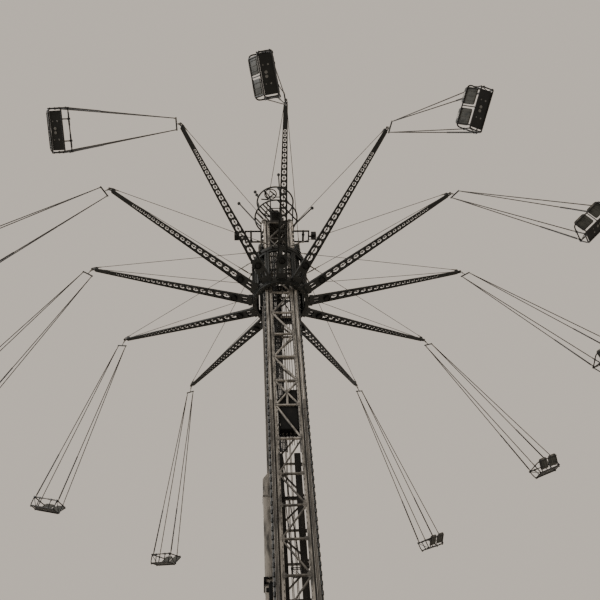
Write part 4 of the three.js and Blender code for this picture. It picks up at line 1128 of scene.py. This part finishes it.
@dataclass
class Carriage:
    """Climbing carriage: two rings, guide plates with rollers, and two slewing motors."""

    inner: float = 0.762
    outer: float = 0.786
    shelf: float = 0.868
    low: float = -1.75
    shelf_top: float = -1.6905
    high: float = 0.18
    ring: float = 0.16
    guide_y: float = 0.425
    guide_near: float = 0.538
    guide_far: float = 0.638
    roller_x: float = 0.59
    roller_heights: tuple[float, ...] = (-1.62, -1.45, -0.14, 0.03)
    strut_x: float = 0.774
    tie_low: float = -0.86
    tie_high: float = -0.76
    bolt_circle: float = 0.828
    bolt_count: int = 36
    motor_angles: tuple[float, ...] = (225, 315)

    def rollers(self) -> Dressed:
        """Rollers on the +X side that run on the chords' faces."""
        tyre = [(0, 0.056), (0.006, 0.062), (0.04, 0.062), (0.046, 0.056)]
        hub = [(-0.01, 0.02), (0.06, 0.02), (0.064, 0.014)]
        places = [((self.roller_x, side * (self.guide_y - 0.03), z), (0, -side, 0))
                  for side in (-1, 1) for z in self.roller_heights]
        return [(joined([spindle(*place, tyre, 24) for place in places]), Coat.RUBBER),
                (joined([spindle(*place, hub, 12) for place in places]), Coat.ZINC)]

    def frame_parts(self) -> Dressed:
        """Rings, guide plates, struts and bolts; the duct's side, -X, has no tie between its plates."""
        inner, outer, low, high, guide = self.inner, self.outer, self.low, self.high, self.guide_y
        step = self.shelf_top
        low_ring = ringed([(inner, low), (self.shelf, low), (self.shelf, step), (outer, step),
                           (outer, step + self.ring), (inner, step + self.ring)])
        high_ring = ringed([(inner, high - self.ring), (outer, high - self.ring), (outer, high),
                            (inner, high)])
        near, far = self.guide_near, self.guide_far
        plates = [block((near, y - 0.025, low + 0.01), (far, y + 0.025, high - 0.01), 0.005)
                  for y in (-guide, guide)]
        spokes = [block((far - 0.008, y - 0.016, z), (far + 0.022, y + 0.016, z + 0.12), 0.004)
                  for y in (-guide, guide) for z in (low + 0.02, high - 0.15)]
        quarter = joined(plates + spokes).repeated(turns(4))
        tie = block((far - 0.018, -guide, self.tie_low), (far, guide, self.tie_high), 0.004)
        ties = tie.repeated(turns(4)[[0, 1, 3]])
        strut = rod((self.strut_x, 0, step + 0.1), (self.strut_x, 0, high - 0.1), 0.02)
        struts = strut.repeated(turns(12, pi / 12))
        heads = bolts([(self.bolt_circle, 0, low)], (0, 0, -1), 0.014).repeated(turns(self.bolt_count))
        return [(joined([low_ring, high_ring, quarter, ties, struts]), Coat.DARK_ENAMEL), (heads, Coat.ZINC),
                *repeated_all(self.rollers(), turns(4))]

    def motor(self) -> Dressed:
        """Slewing gear motor: gearbox, finned motor, fan cover and terminal box."""
        x, low = self.inner, self.high + AIR
        foot_top = low + 0.04
        centre = (x + 0.07, 0, foot_top)
        foot = block((x, -0.11, low), (x + 0.15, 0.11, foot_top), 0.006)
        steps = [(0, 0.08), (0.02, 0.085), (0.06, 0.085), (0.07, 0.066), (0.28, 0.066), (0.29, 0.072),
                 (0.35, 0.072), (0.36, 0.06)]
        casing = spindle(centre, (0, 0, 1), steps, 24)
        fin = block((0.06, -0.003, 0.075), (0.08, 0.003, 0.27), 0.001)
        fins = fin.repeated(turns(20)).moved(shift(*centre))
        terminal = block((x + 0.02, 0.055, low + 0.18), (x + 0.12, 0.115, low + 0.28), 0.006)
        spots = [(x + out, y, foot_top) for out in (0.02, 0.13) for y in (-0.09, 0.09)]
        return [(joined([foot, casing, fins, terminal]), Coat.DARK_ENAMEL),
                (bolts(spots, (0, 0, 1), 0.01), Coat.ZINC)]

    def build(self) -> None:
        """Makes the carriage."""
        up = shift(0, 0, TIP_HEIGHT)
        piece("carriage_rings", "carriage", moved_all(self.frame_parts(), up),
              ["carriage_frame"])
        for index, angle in enumerate(self.motor_angles):
            number, parts = f"{index + 1:02d}", moved_all(self.motor(), up @ turn(radians(angle)))
            piece(f"gear_motor_{number}", "carriage", parts, [f"slewing_motor_{number}"])


@dataclass
class Hub:
    """Drum of the star: wall, flanges, ribs, stay lugs and bolts."""

    inner: float = 0.8
    outer: float = 0.885
    wall: float = 0.86
    low: float = -1.69
    high: float = 0.17
    flange: float = 0.15
    window_low: float = -1.46
    window_high: float = -0.08
    window_reach: float = radians(10.06)
    brace_at: float = 0.83
    brace_half: float = 0.2
    high_bolts: int = 48
    low_bolts: int = 36

    def wall_parts(self) -> list[Form]:
        """Rings and bands of the drum, and the posts and slanting braces at its tall windows."""
        inner, outer, wall = self.inner, self.outer, self.wall
        sill, lintel = self.window_low, self.window_high
        low, foot, head = self.low + AIR, self.low + self.flange, self.high - self.flange
        low_ring = ringed([(inner, low), (outer, low), (outer, foot), (wall, foot + 0.01), (wall, sill),
                           (inner, sill)], 96)
        high_ring = ringed([(inner, lintel), (wall, lintel), (wall, head - 0.01), (outer, head),
                            (outer, self.high), (inner, self.high)], 96)
        reach, middle = pi / ARM_COUNT - self.window_reach, (inner + wall) / 2
        angle = np.linspace(-reach, reach, 7)
        path = np.stack([middle * np.cos(angle), middle * np.sin(angle), np.full(7, (sill + lintel) / 2)],
                        axis=-1)
        post = swept(path, oblong(wall - inner, lintel - sill + 0.004, 0.006, 2))
        at, half = self.brace_at, self.brace_half
        brace = rod((at, -half, sill), (at, half, lintel), 0.014, 8)
        return [low_ring, high_ring, post.repeated(turns(ARM_COUNT)),
                brace.repeated(turns(ARM_COUNT, pi / ARM_COUNT))]

    def build(self) -> None:
        """Makes the drum."""
        between = turns(ARM_COUNT, pi / ARM_COUNT)
        at, up = LUG_RADIUS, LUG_HEIGHT
        rib = block((self.wall - 0.004, -0.006, self.low + 0.14),
                    (self.outer - 0.003, 0.006, self.high - 0.14), 0.002)
        lug = block((0.87, -0.012, up - 0.075), (at + 0.04, 0.012, up + 0.07), 0.008)
        pins = joined([rod((at, -0.03, up + dz), (at, 0.03, up + dz), 0.011, 12)
                       for dz in (-STAY_SPLIT, STAY_SPLIT)])
        heads = bolts([(self.outer, 0, self.high - 0.03)], (1, 0, 0), 0.013).repeated(turns(self.high_bolts))
        rim = bolts([(self.outer, 0, self.low + 0.075)], (1, 0, 0), 0.012)
        rim = rim.repeated(turns(self.low_bolts, pi / self.low_bolts))
        steel = joined([*self.wall_parts(), rib.repeated(turns(ARM_COUNT)), lug.repeated(between)])
        parts = [(steel, Coat.DARK_ENAMEL), (joined([pins.repeated(between), heads, rim]), Coat.ZINC)]
        placing = shift(0, 0, TIP_HEIGHT) @ turn(STAR_TURN)
        piece("star_drum", "star", moved_all(parts, placing), ["star_hub"])


@dataclass
class Arm:
    """Flat tapered girder with one row of oval openings and lamps, a tip fork and two rope stays."""

    root: float = 0.892
    drop: float = 1.577
    rise: float = 1.56
    end: float = 5.9
    root_half: float = 0.158
    tip_half: float = 0.057
    root_depth: float = 0.040
    tip_depth: float = 0.014
    sheet: float = 0.010
    slot_start: float = 1.04
    slot_stop: float = 1.2
    first_opening: float = 1.69
    first_pitch: float = 0.258
    shrink: float = 0.96
    openings: int = 20
    oval_long: float = 0.8  # share of a cell's length
    oval_wide: float = 0.62  # share of the girder's width
    cap_radius: float = 0.027
    lamp_at: float = 1.434
    lamp_radius: float = 0.105
    stay_radius: float = 0.009
    pin_radius: float = 0.0147
    slope: float = field(init=False)
    length: float = field(init=False)

    def __post_init__(self) -> None:
        """Works out the girder's slope and length."""
        self.slope = atan2(self.rise, ARM_RADIUS - self.root)
        self.length = (self.end - self.root) / cos(self.slope)

    @property
    def downward(self) -> Point:
        """Direction square to the girder's underside, in which the lamps point."""
        return (sin(self.slope), 0, -cos(self.slope))

    def along(self, radius: float) -> float:
        """Distance along the girder at a radius from the mast's axis."""
        return (radius - self.root) / cos(self.slope)

    def half_at(self, s: Array | float) -> Array | float:
        """Half the girder's width at a distance along it."""
        return self.root_half + (self.tip_half - self.root_half) * s / self.length

    def placed(self, s: Array | float, v: Array | float, w: Array | float, lift: float = 0.0) -> Array:
        """Point s along the girder, v half widths across, w half depths up, and lift in metres."""
        up = w * (self.root_depth + (self.tip_depth - self.root_depth) * s / self.length) + lift
        x = self.root + s * cos(self.slope) - up * sin(self.slope)
        z = -self.drop + s * sin(self.slope) + up * cos(self.slope)
        return np.stack(np.broadcast_arrays(x, v * self.half_at(s), z), axis=-1)

    def cells(self) -> list[tuple[float, float]]:
        """Start and stop along the girder of each lamp's cell, shorter towards the tip."""
        steps = self.first_pitch * self.shrink ** np.arange(self.openings)
        radii = self.first_opening + np.concatenate([[0.0], np.cumsum(steps[:-1])])
        edges = [self.along(radius - step / 2) for radius, step in zip(radii, steps)]
        return list(zip(edges, edges[1:] + [edges[-1] + steps[-1] / cos(self.slope)]))

    def opening(self, start: float, stop: float, level: float) -> Form:
        """One cell of a perforated plate: a frame of plate round an oval hole.

        The cell's edge and the hole are both closed outlines of 36 points, scaled from a
        rounded square, and the plate's two faces join them.

        Args:
            start: Where the cell starts along the girder.
            stop: Where it ends.
            level: -1 for the lower plate and 1 for the upper.

        Returns:
            The closed form.
        """
        middle, half = (start + stop) / 2, (stop - start) / 2
        edge = oblong(2, 2, 0.02, 8) * [half, 0.98] + [middle, 0]
        hole = oblong(2, 2, 0.9, 8) * [half * self.oval_long, self.oval_wide] + [middle, 0]
        lifts = [(share - (0.5 + 0.5 * level)) * self.sheet for share in (0.0, 1.0)]
        corners = ((hole, lifts[0]), (hole, lifts[1]), (edge, lifts[1]), (edge, lifts[0]))
        rings = [self.placed(outline[:, 0], outline[:, 1], level, lift) for outline, lift in corners]
        return skin(np.stack(rings, axis=1), looped=True)

    def flat(self, start: float, stop: float, from_v: float, to_v: float, low: float = -1.0,
             high: float = 1.0) -> Form:
        """Stretch of the girder's section without openings.

        Args:
            start: Where it starts along the girder.
            stop: Where it ends.
            from_v: One edge, in half widths.
            to_v: The other edge.
            low: Underside, in half depths.
            high: Upper side.

        Returns:
            The closed form.
        """
        v, w = np.array([from_v, to_v, to_v, from_v]), np.array([low, low, high, high])
        return skin(np.stack([self.placed(s, v, w) for s in (start, stop)]))

    def plates(self) -> list[Form]:
        """Side members, perforated plates, the slotted root, the lamp's plate and the closed tip."""
        slot_start, slot_stop, cells = self.along(self.slot_start), self.along(self.slot_stop), self.cells()
        open_start, open_stop = cells[0][0], cells[-1][1]
        forms = [self.flat(0.0, slot_start, -1, 1), self.flat(slot_stop, open_start, -1, 1),
                 self.flat(slot_start, slot_stop, -0.12, 0.12), self.flat(open_stop, self.length, -1, 1)]
        for side in (-1, 1):
            forms += [self.flat(slot_start, slot_stop, *span(side, 0.61, 1.0)),
                      self.flat(open_start, open_stop, *span(side, 0.7, 1.0)),
                      self.flat(0.02, self.length, *span(side, 0.985, 1.03), -1.12, -0.7)]
        return forms + [self.opening(*cell, level) for level in (-1, 1) for cell in cells]

    def lamps(self) -> Dressed:
        """Lengthwise strap through the openings, with a socket and a frosted cap in each."""
        cells = self.cells()
        sockets, caps = [self.flat(cells[0][0], cells[-1][1], -0.07, 0.07, 0.3, 0.9)], []
        for start, stop in cells:
            at = (start + stop) / 2
            radius = min(self.cap_radius, 0.36 * self.half_at(at))
            centre = self.placed(at, 0.0, 0.3)
            ring = [(-0.012, radius * 1.1), (0.004, radius * 1.15), (0.01, radius * 1.1),
                    (0.011, radius * 0.8)]
            cap = [(0.006, radius * 0.78), (0.018, radius * 0.7), (0.026, radius * 0.35)]
            sockets.append(spindle(centre, self.downward, ring, 16))
            caps.append(spindle(centre, self.downward, cap, 14))
        return [(joined(sockets), Coat.DARK_ENAMEL), (joined(caps), Coat.CAP)]

    def root_bracket(self) -> Dressed:
        """End plate on the drum with bolts, and two cheek plates."""
        middle, tall, face = -self.drop, self.root_depth + 0.03, 0.9
        steel = [block((0.8865, -0.165, middle - tall), (face, 0.165, middle + tall), 0.004)]
        steel += [block((0.89, y - 0.006, middle - 0.05), (1.0, y + 0.006, middle + 0.08), 0.004)
                  for y in (-0.166, 0.166)]
        spots = [(face, y, middle + z) for y in (-0.11, 0.11) for z in (-tall + 0.014, tall - 0.014)]
        return [(joined(steel), Coat.DARK_ENAMEL), (bolts(spots, (1, 0, 0), 0.012), Coat.ZINC)]

    def floodlight(self) -> Dressed:
        """Round floodlight under the closed plate: housing, bezel and domed lens."""
        centre, radius = self.placed(self.along(self.lamp_at), 0.0, -1.0), self.lamp_radius
        rim = [(-0.02, radius * 0.9), (0.012, radius * 0.97), (0.05, radius), (0.06, radius),
               (0.062, radius * 0.9), (0.045, radius * 0.86)]
        lens = [(0.04, radius * 0.85), (0.052, radius * 0.7), (0.056, radius * 0.3)]
        return [(spindle(centre, self.downward, rim, 32), Coat.RUBBER),
                (spindle(centre, self.downward, lens, 32), Coat.LENS)]

    def tip(self, trail: float) -> Dressed:
        """Rounded head, fork cheeks and the chair's pivot pin.

        Args:
            trail: Angle of the chair's swing plane behind the arm's.

        Returns:
            The head with its fork, and the pin.
        """
        steps = [(0, 0.05), (0.01, 0.058), (0.114, 0.058), (0.124, 0.05)]
        head = spindle((ARM_RADIUS - 0.125, 0, -0.062), (0, 0, 1), steps, 24)
        nose = block((ARM_RADIUS - 0.19, -0.055, -0.058), (ARM_RADIUS - 0.1, 0.055, 0.058), 0.01)
        cheeks, eye, inner, outer = [], 0.033, 0.023, 0.037
        pins = [spindle((0, -0.045, 0), (0, 1, 0), [(0, self.pin_radius), (0.09, self.pin_radius)], 20)]
        for side in (-1, 1):
            low, high = span(side, inner, outer)
            cheeks.append(block((-0.1, low, -eye), (0.0, high, eye), 0.004))
            cheeks.append(spindle((0, low, 0), (0, 1, 0), [(0, eye), (high - low, eye)], 20))
            pins.append(spindle((0, side * outer, 0), (0, side, 0), [(0, 0.024), (0.008, 0.022)], 6))
        placing = shift(ARM_RADIUS, 0, 0) @ turn(-trail)
        return [(joined([head, nose, joined(cheeks).moved(placing)]), Coat.DARK_ENAMEL),
                (joined(pins).moved(placing), Coat.ZINC)]

    def stays(self) -> Dressed:
        """Rope stays from the tip to the lugs on the drum, with sockets and turnbuckles."""
        socket = [(0.02, 0.014), (0.03, 0.018), (0.16, 0.016), (0.2, 0.01)]
        # Distance back from the drum's end, and radius
        turnbuckle = ((0.56, 0.01), (0.52, 0.016), (0.42, 0.016), (0.4, 0.022), (0.16, 0.022), (0.14, 0.014),
                      (0.03, 0.014))
        ropes, fittings = [], []
        for side in (-1, 1):
            angle = side * pi / 4
            tip = np.array([ARM_RADIUS - 0.11, side * 0.03, 0.045])
            lug = np.array([LUG_RADIUS * cos(angle), LUG_RADIUS * sin(angle), LUG_HEIGHT + side * STAY_SPLIT])
            length = float(np.linalg.norm(lug - tip))
            way = (lug - tip) / length
            ropes.append(rod(tip, lug - way * 0.022, self.stay_radius, 8))
            screw = [(length - back, radius) for back, radius in turnbuckle]
            fittings += [spindle(tip, way, socket, 10), spindle(tip, way, screw, 10),
                         rod(tip + [0, 0, -0.03], tip + [0, 0, 0.02], 0.016)]
        return [(joined(ropes), Coat.WIRE_ROPE), (joined(fittings), Coat.ZINC)]

    def body(self) -> Dressed:
        """All of one arm but its fork, along +X at the height of the tips' plane."""
        return [(joined(self.plates()), Coat.DARK_ENAMEL), *self.lamps(), *self.root_bracket(),
                *self.floodlight(), *self.stays()]


# Hangers and chairs

@dataclass
class Chair:
    """Double chair: side frames of tube, one pan, two reclined backs, lap bar and posts.

    Its places are pairs of forward and up, from the middle of the pan.
    """

    side: float = 0.48
    tube: float = 0.017
    drop: float = 6.207
    front_top: tuple[float, float] = (0.240, 0.265)
    rear_top: tuple[float, float] = (-0.280, 0.217)
    rear_low: tuple[float, float] = (-0.066, -0.038)
    front_low: tuple[float, float] = (0.240, -0.010)
    rail_front: float = 0.13
    anchors: tuple[float, float] = (0.190, -0.0715)
    back_inner: float = 0.045
    back_outer: float = 0.430
    back_slope: tuple[float, float] = (0.766, 0.643)
    seat_at: float = 0.24

    def armrest(self, forward: float) -> float:
        """Height of the armrest tube's centre line at a forward place."""
        share = (self.front_top[0] - forward) / (self.front_top[0] - self.rear_top[0])
        return self.front_top[1] + (self.rear_top[1] - self.front_top[1]) * share

    def anchor(self, side: int, forward: float) -> Array:
        """Where a cable meets the armrest tube, from the pivot."""
        return np.array([side * self.side, forward, self.armrest(forward) + self.tube - self.drop])

    def u_rail(self, front: tuple[float, float], rear: tuple[float, float], bend: float) -> Form:
        """Tube from one side's front, round behind both seats, to the other side's front."""
        x = self.side
        path = bent([(-x, *front), (-x, *rear), (x, *rear), (x, *front)], bend, 7, closed=False)
        return swept(path, circle(self.tube, 12))

    def frame_tubes(self) -> Form:
        """Armrest rail, pan rail, rounded fronts, uprights, back tubes, diagonals and the front tube."""
        front, middle = self.rail_front, self.anchors[1]
        rail_high, rail_low = (front, self.armrest(front)), (front, self.front_low[1] - 0.01)
        forms = [self.u_rail(rail_high, self.rear_top, 0.11), self.u_rail(rail_low, self.rear_low, 0.08)]
        for side in (-1, 1):
            x, inner = side * self.side, side * (self.side - 0.075)
            bow = bent([(x, *rail_high), (x, *self.front_top), (x, *self.front_low), (x, *rail_low)], 0.07, 6,
                       closed=False)
            corner = (x, self.front_top[0] - 0.02, self.front_top[1] - 0.03)
            forms += [swept(bow, circle(self.tube, 12), (1, 0, 0)),
                      rod((x, middle, self.armrest(middle)), (x, *self.rear_low), self.tube, 12),
                      rod(corner, (x, *self.rear_low), 0.010, 8),
                      rod((inner, *self.rear_low), (inner, *self.rear_top), self.tube * 0.9, 12)]
        forms.append(rod((-self.side, *self.front_low), (self.side, *self.front_low), self.tube, 12))
        forms.append(rod((0, *self.rear_low), (0, *self.rear_top), 0.013))
        foot = spindle((0, 0, 0), (0, 0, -1), [(-0.012, 0.022), (0.018, 0.024), (0.028, 0.014)], 12)
        ends = ((self.front_low[0] - 0.03, -0.024), (self.rear_low[0] + 0.05, -0.042))
        forms.append(foot.repeated(shifts([(x, *end) for x in (-self.side, self.side) for end in ends])))
        return joined(forms)

    def pan(self) -> Form:
        """Seat pan: its section is carried across, with a shallow dip under each rider and a rolled front."""
        top = np.array([[-0.046, -0.014], [-0.035, -0.010], [0.02, -0.006], [0.1, 0.001], [0.18, 0.009],
                        [0.225, 0.013], [0.243, 0.008], [0.25, -0.006]])
        under = np.array([[0.0, -0.016], *[[0.0, -0.018]] * 4, [-0.004, -0.020], [-0.008, -0.020],
                          [-0.012, -0.006]])
        section = np.concatenate([top, (top + under)[::-1]])
        stations = np.linspace(-self.back_outer, self.back_outer, 41)
        dip_depth, dip_width, fade = 0.006, 0.13, 0.08
        dip = np.exp(-((np.abs(stations) - self.seat_at) / dip_width) ** 2)
        inner = np.clip((section[:, 0] + 0.04) / fade, 0, 1) * np.clip((0.23 - section[:, 0]) / fade, 0, 1)
        height = section[None, :, 1] - dip_depth * dip[:, None] * inner[None]
        rings = np.stack(np.broadcast_arrays(stations[:, None], section[None, :, 0], height), axis=-1)
        return skin(rings[:, ::-1])

    def back(self, side: int) -> Dressed:
        """One backrest: a rounded panel along the reclined back tubes that turns up above the rail.

        The half width at distance s from the lower edge, of length L and corner radius r, is
        w - r + sqrt(r^2 - d^2) where d is how far s lies inside the last r of either end.

        Args:
            side: -1 for the inner seat and 1 for the outer.

        Returns:
            The shell with its ribs, and its blank plate and fixings.
        """
        line = np.array([[-0.094, 0.017], [-0.14, 0.072], [-0.2, 0.145], [-0.262, 0.222], [-0.28, 0.246],
                         [-0.293, 0.268], [-0.299, 0.283]])
        steps = np.concatenate([[0.0], np.cumsum(np.linalg.norm(np.diff(line, axis=0), axis=1))])
        length = steps[-1]
        s = np.concatenate([[0.0, 0.004, 0.012, 0.025], np.linspace(0.045, length - 0.075, 8),
                            length - np.array([0.05, 0.03, 0.015, 0.005, 0.0])])
        path = np.stack([0 * s, np.interp(s, steps, line[:, 0]), np.interp(s, steps, line[:, 1])], axis=-1)
        wide, to_end = (self.back_outer - self.back_inner) / 2, np.minimum(s, length - s)
        corner = np.where(s < length / 2, 0.04, 0.075)
        depth = np.clip(corner - to_end, 0, corner)
        width = (wide - corner + np.sqrt(np.maximum(corner ** 2 - depth ** 2, 0))) / wide
        thinned = np.clip(to_end / 0.01, 0.35, 1)
        normal = np.array([0, *self.back_slope])
        shell = swept(path, oblong(2 * wide, 0.026, 0.012, 3), normal, np.stack([width, thinned], axis=1))
        rib_path = path[3:-4] - normal * 0.015
        ribs = [swept(rib_path + [x, 0, 0], oblong(0.02, 0.012, 0.004), normal) for x in (-0.11, 0.0, 0.11)]
        plate = swept(path[[-5, -3]] - normal * 0.016, oblong(0.13, 0.006, 0.002), normal)
        heads = bolts([(x, -0.1, 0.012) for x in (-0.13, 0.13)], -normal, 0.009)
        # The shell's paler coat paints sunlight on the backs
        return moved_all([(joined([shell, *ribs]), Coat.SUNLIT_SEAT_BACK), (joined([plate, heads]), Coat.ZINC)],
                         shift(side * (self.back_inner + wide), 0, 0))

    def lap_bar(self) -> Dressed:
        """Bar across both laps, its end brackets, and the two posts with their clamps."""
        (forward, up), reach = self.front_top, self.side - 0.01
        steel, posts, grips = [rod((-reach, forward, up), (reach, forward, up), 0.014, 12)], [], []
        padding = [(0, 0.015), (0.006, 0.02), (0.294, 0.02), (0.3, 0.015)]
        post = [(0, 0.016), (0.03, 0.016), (0.25, 0.014)]
        for side in (-1, 1):
            x = side * self.seat_at
            grips.append(spindle((x - 0.15, forward, up), (1, 0, 0), padding, 14))
            posts.append(spindle((x, 0.225, 0.004), (0, 0.015, 0.261), post, 12))
            steel.append(block((x - 0.022, forward - 0.026, up - 0.034),
                               (x + 0.022, forward + 0.028, up + 0.026), 0.006))
            near, far = span(side, reach - 0.03, reach + 0.03)
            steel.append(block((near, forward - 0.024, up - 0.026),
                               (far, forward + 0.024, up + 0.026), 0.006))
        return [(joined(steel + posts), Coat.TUBE_COAT), (joined(grips), Coat.HOSE)]

    def fixings(self) -> Form:
        """Shackles at the cables' anchors."""
        forms, angle = [], np.arange(20) * 2 * pi / 20
        bow = 0.026 * np.stack([np.cos(angle), 0 * angle, np.sin(angle)], axis=-1)
        for side in (-1, 1):
            for forward in self.anchors:
                centre = self.anchor(side, forward) + [0, 0, self.drop - self.tube]
                forms.append(swept(centre + bow, circle(0.007, 8), (0, 1, 0), looped=True))
                forms.append(spindle(centre + [0, -0.028, 0], (0, 1, 0), [(0, 0.023), (0.056, 0.023)], 14))
        return joined(forms)

    def washers(self) -> Form:
        """Two large plain washers under the pan's middle and four small ones round them."""
        forms = []
        for x, forward, radius in ((0.045, 0.06, 0.034), (0.2, 0.13, 0.02), (0.2, 0.02, 0.014)):
            washer = [(0, radius), (0.007, radius), (0.01, radius * 0.6)]
            forms += [spindle((place, forward, -0.026 + 0.09 * forward), (0, 0, -1), washer, 18)
                      for place in (-x, x)]
        return joined(forms)

    def parts(self) -> Dressed:
        """The chair, with the middle of its pan its drop below the origin."""
        made = [(self.frame_tubes(), Coat.TUBE_COAT), (self.pan(), Coat.SEAT_SHELL), *self.lap_bar(),
                *self.back(-1), *self.back(1), (self.fixings(), Coat.TUBE_COAT), (self.washers(), Coat.CAP)]
        return moved_all(made, shift(0, 0, -self.drop))


@dataclass
class Hanger:
    """Swivel, spreader bar and four cables of one chair, from the pivot down."""

    chair: Chair
    link: float = 0.24
    spreader: float = 0.16
    bar_half: float = 0.19
    cable: float = 0.0135
    sleeve: float = 0.0215
    sleeve_length: float = 1.5
    hose_end: float = 0.014

    def head(self, trail: float) -> Form:
        """Eye round the pivot pin and the swivel under it.

        Args:
            trail: Angle of the chair's swing plane behind the arm's.

        Returns:
            The turned pieces.
        """
        bore, rim, half = 0.0163, 0.034, 0.02
        eye = ringed([(bore, -half), (rim, -half), (rim, half), (bore, half)], 24)
        steps = [(0, 0.014), (0.02, 0.016), (0.03, 0.026), (0.08, 0.026), (0.09, 0.016), (0.18, 0.015),
                 (0.212, 0.02)]
        swivel = spindle((0, 0, -0.028), (0, 0, -1), steps, 14)
        return joined([eye.moved(turn(-trail) @ turn(pi / 2, "X")), swivel])

    def parts(self) -> Dressed:
        """The spreader and cables with the pivot at the origin and the chair hanging along -Z."""
        long = 2 * self.bar_half
        bar = spindle((-self.bar_half, 0, -self.link), (1, 0, 0),
                      [(0, 0.014), (0.006, 0.022), (long - 0.006, 0.022), (long, 0.014)], 16)
        lugs = [block((x - 0.02, -0.006, -self.link - 0.05), (x + 0.02, 0.006, -self.link), 0.004)
                for x in (-self.spreader, self.spreader)]
        thimble = [(0.0, 0.013), (0.02, 0.018), (0.11, 0.018), (0.13, 0.013)]
        ropes, hoses, ferrules = [], [], []
        for side in (-1, 1):
            for forward in self.chair.anchors:
                start = np.array([side * self.spreader, 0, -self.link - 0.02])
                target = self.chair.anchor(side, forward)
                length = float(np.linalg.norm(target - start))
                way = (target - start) / length
                ropes.append(rod(start, target - way * 0.003, self.cable, 8))
                ferrules += [spindle(start, way, thimble, 10),
                             spindle(target - way * 0.004, -way, thimble, 10)]
                if forward > 0:
                    top = length - self.sleeve_length
                    hose = [(top, self.hose_end), (top + 0.01, self.sleeve), (length - 0.07, self.sleeve),
                            (length - 0.06, self.hose_end)]
                    hoses.append(spindle(start, way, hose, 12))
        return [(joined([bar] + lugs), Coat.DARK_ENAMEL), (joined(ferrules), Coat.ZINC),
                (joined(ropes), Coat.WIRE_ROPE), (joined(hoses), Coat.HOSE)]


def build_star() -> None:
    """Makes the drum, then each arm with its hanger and chair."""
    Hub().build()
    arm, chair = Arm(), Chair()
    hanger = Hanger(chair)
    body, seat, ropes = arm.body(), chair.parts(), hanger.parts()
    for index, pose in enumerate(POSES):
        trail, swing, twist = map(radians, pose)
        number = f"{index + 1:02d}"
        placing = shift(0, 0, TIP_HEIGHT) @ turn(STAR_TURN + index * 2 * pi / ARM_COUNT)
        piece(f"arm_girder_{number}", "star", moved_all(body + arm.tip(trail), placing),
              [f"arm_{number}"])
        axis = (-sin(trail), -cos(trail), 0)
        flung = placing @ shift(ARM_RADIUS, 0, 0) @ np.array(Matrix.Rotation(swing, 4, axis))
        twisted = flung @ turn(twist)
        hung = [(hanger.head(trail).moved(flung), Coat.ZINC), *moved_all(ropes, twisted)]
        piece(f"cable_hanger_{number}", f"swing_{number}", hung, [f"hanger_{number}"])
        piece(f"double_chair_{number}", f"swing_{number}", moved_all(seat, twisted),
              [f"chair_{number}"])


# Studio

@dataclass
class Studio:
    """Plain pale floor and world, soft lights, and the camera that looks up from the ground."""

    place: Point = (-0.984, -16.862, 1.606)
    heading: float = radians(5.38)
    pitch: float = radians(51.42)
    roll: float = radians(-4.83)
    lens: float = 52.18
    sensor: float = 36.0
    sight: float = 3000.0
    world: str = "#d0c6ba"
    floor: str = "#d9d4cc"
    floor_roughness: float = 0.9
    floor_reach: float = 2000.0
    aim: Point = (0, 0, 20)
    # Name, place, edge in metres and power in watts of each light
    lights: tuple[tuple[str, Point, float, float], ...] = (
        ("key", (-28, -14, 32), 16, 14000), ("fill", (26, -20, 26), 22, 3000), ("rim", (5, 30, 36), 18, 6000))

    def add(self, name: str, data: bpy.types.ID) -> bpy.types.Object:
        """A new object in the scene, with its data."""
        made = bpy.data.objects.new(name, data)
        bpy.context.scene.collection.objects.link(made)
        return made

    def camera(self) -> None:
        """Camera at the photograph's place and angle."""
        data = bpy.data.cameras.new("camera")
        data.lens, data.sensor_width, data.clip_end = self.lens, self.sensor, self.sight
        level_part = cos(self.pitch)
        forward = np.array([sin(self.heading) * level_part, cos(self.heading) * level_part, sin(self.pitch)])
        level = np.array([cos(self.heading), -sin(self.heading), 0])
        up = np.cross(level, forward)
        right = cos(self.roll) * level + sin(self.roll) * up
        top = -sin(self.roll) * level + cos(self.roll) * up
        matrix = np.eye(4)
        matrix[:3] = np.column_stack([right, top, -forward, self.place])
        made = self.add("camera", data)
        made.matrix_world = Matrix(matrix.tolist())
        bpy.context.scene.camera = made

    def light(self, name: str, place: Point, size: float, power: float) -> None:
        """Large square light that faces the star."""
        data = bpy.data.lights.new(name, "AREA")
        data.size, data.energy = size, power
        way = (Vector(self.aim) - Vector(place)).to_track_quat("-Z", "Y")
        self.add(name, data).matrix_world = Matrix.Translation(place) @ way.to_matrix().to_4x4()

    def ground(self) -> None:
        """Large plain floor."""
        mesh = bpy.data.meshes.new("floor")
        corners = self.floor_reach * np.array([[-1, -1, 0], [1, -1, 0], [1, 1, 0], [-1, 1, 0]])
        mesh.from_pydata(corners.tolist(), [], [(0, 1, 2, 3)])
        paint = bpy.data.materials.new("studio_floor")
        paint.use_nodes = True
        shader = paint.node_tree.nodes["Principled BSDF"]
        shader.inputs["Base Color"].default_value = linear(self.floor)
        shader.inputs["Roughness"].default_value = self.floor_roughness
        mesh.materials.append(paint)
        self.add("floor", mesh)

    def build(self) -> None:
        """Makes the world, floor, lights and camera."""
        world = bpy.data.worlds.new("studio")
        world.use_nodes = True
        world.node_tree.nodes["Background"].inputs["Color"].default_value = linear(self.world)
        bpy.context.scene.world = world
        self.ground()
        for row in self.lights:
            self.light(*row)
        self.camera()


def main() -> None:
    """Builds the studio and the ride."""
    logging.basicConfig(level=logging.INFO, format="%(name)s: %(message)s")
    for assembly in (Studio(), Mast(), Shaft(), Duct(), Base(), Crown(), Carriage()):
        assembly.build()
    build_star()


if __name__ == "__main__":
    main()
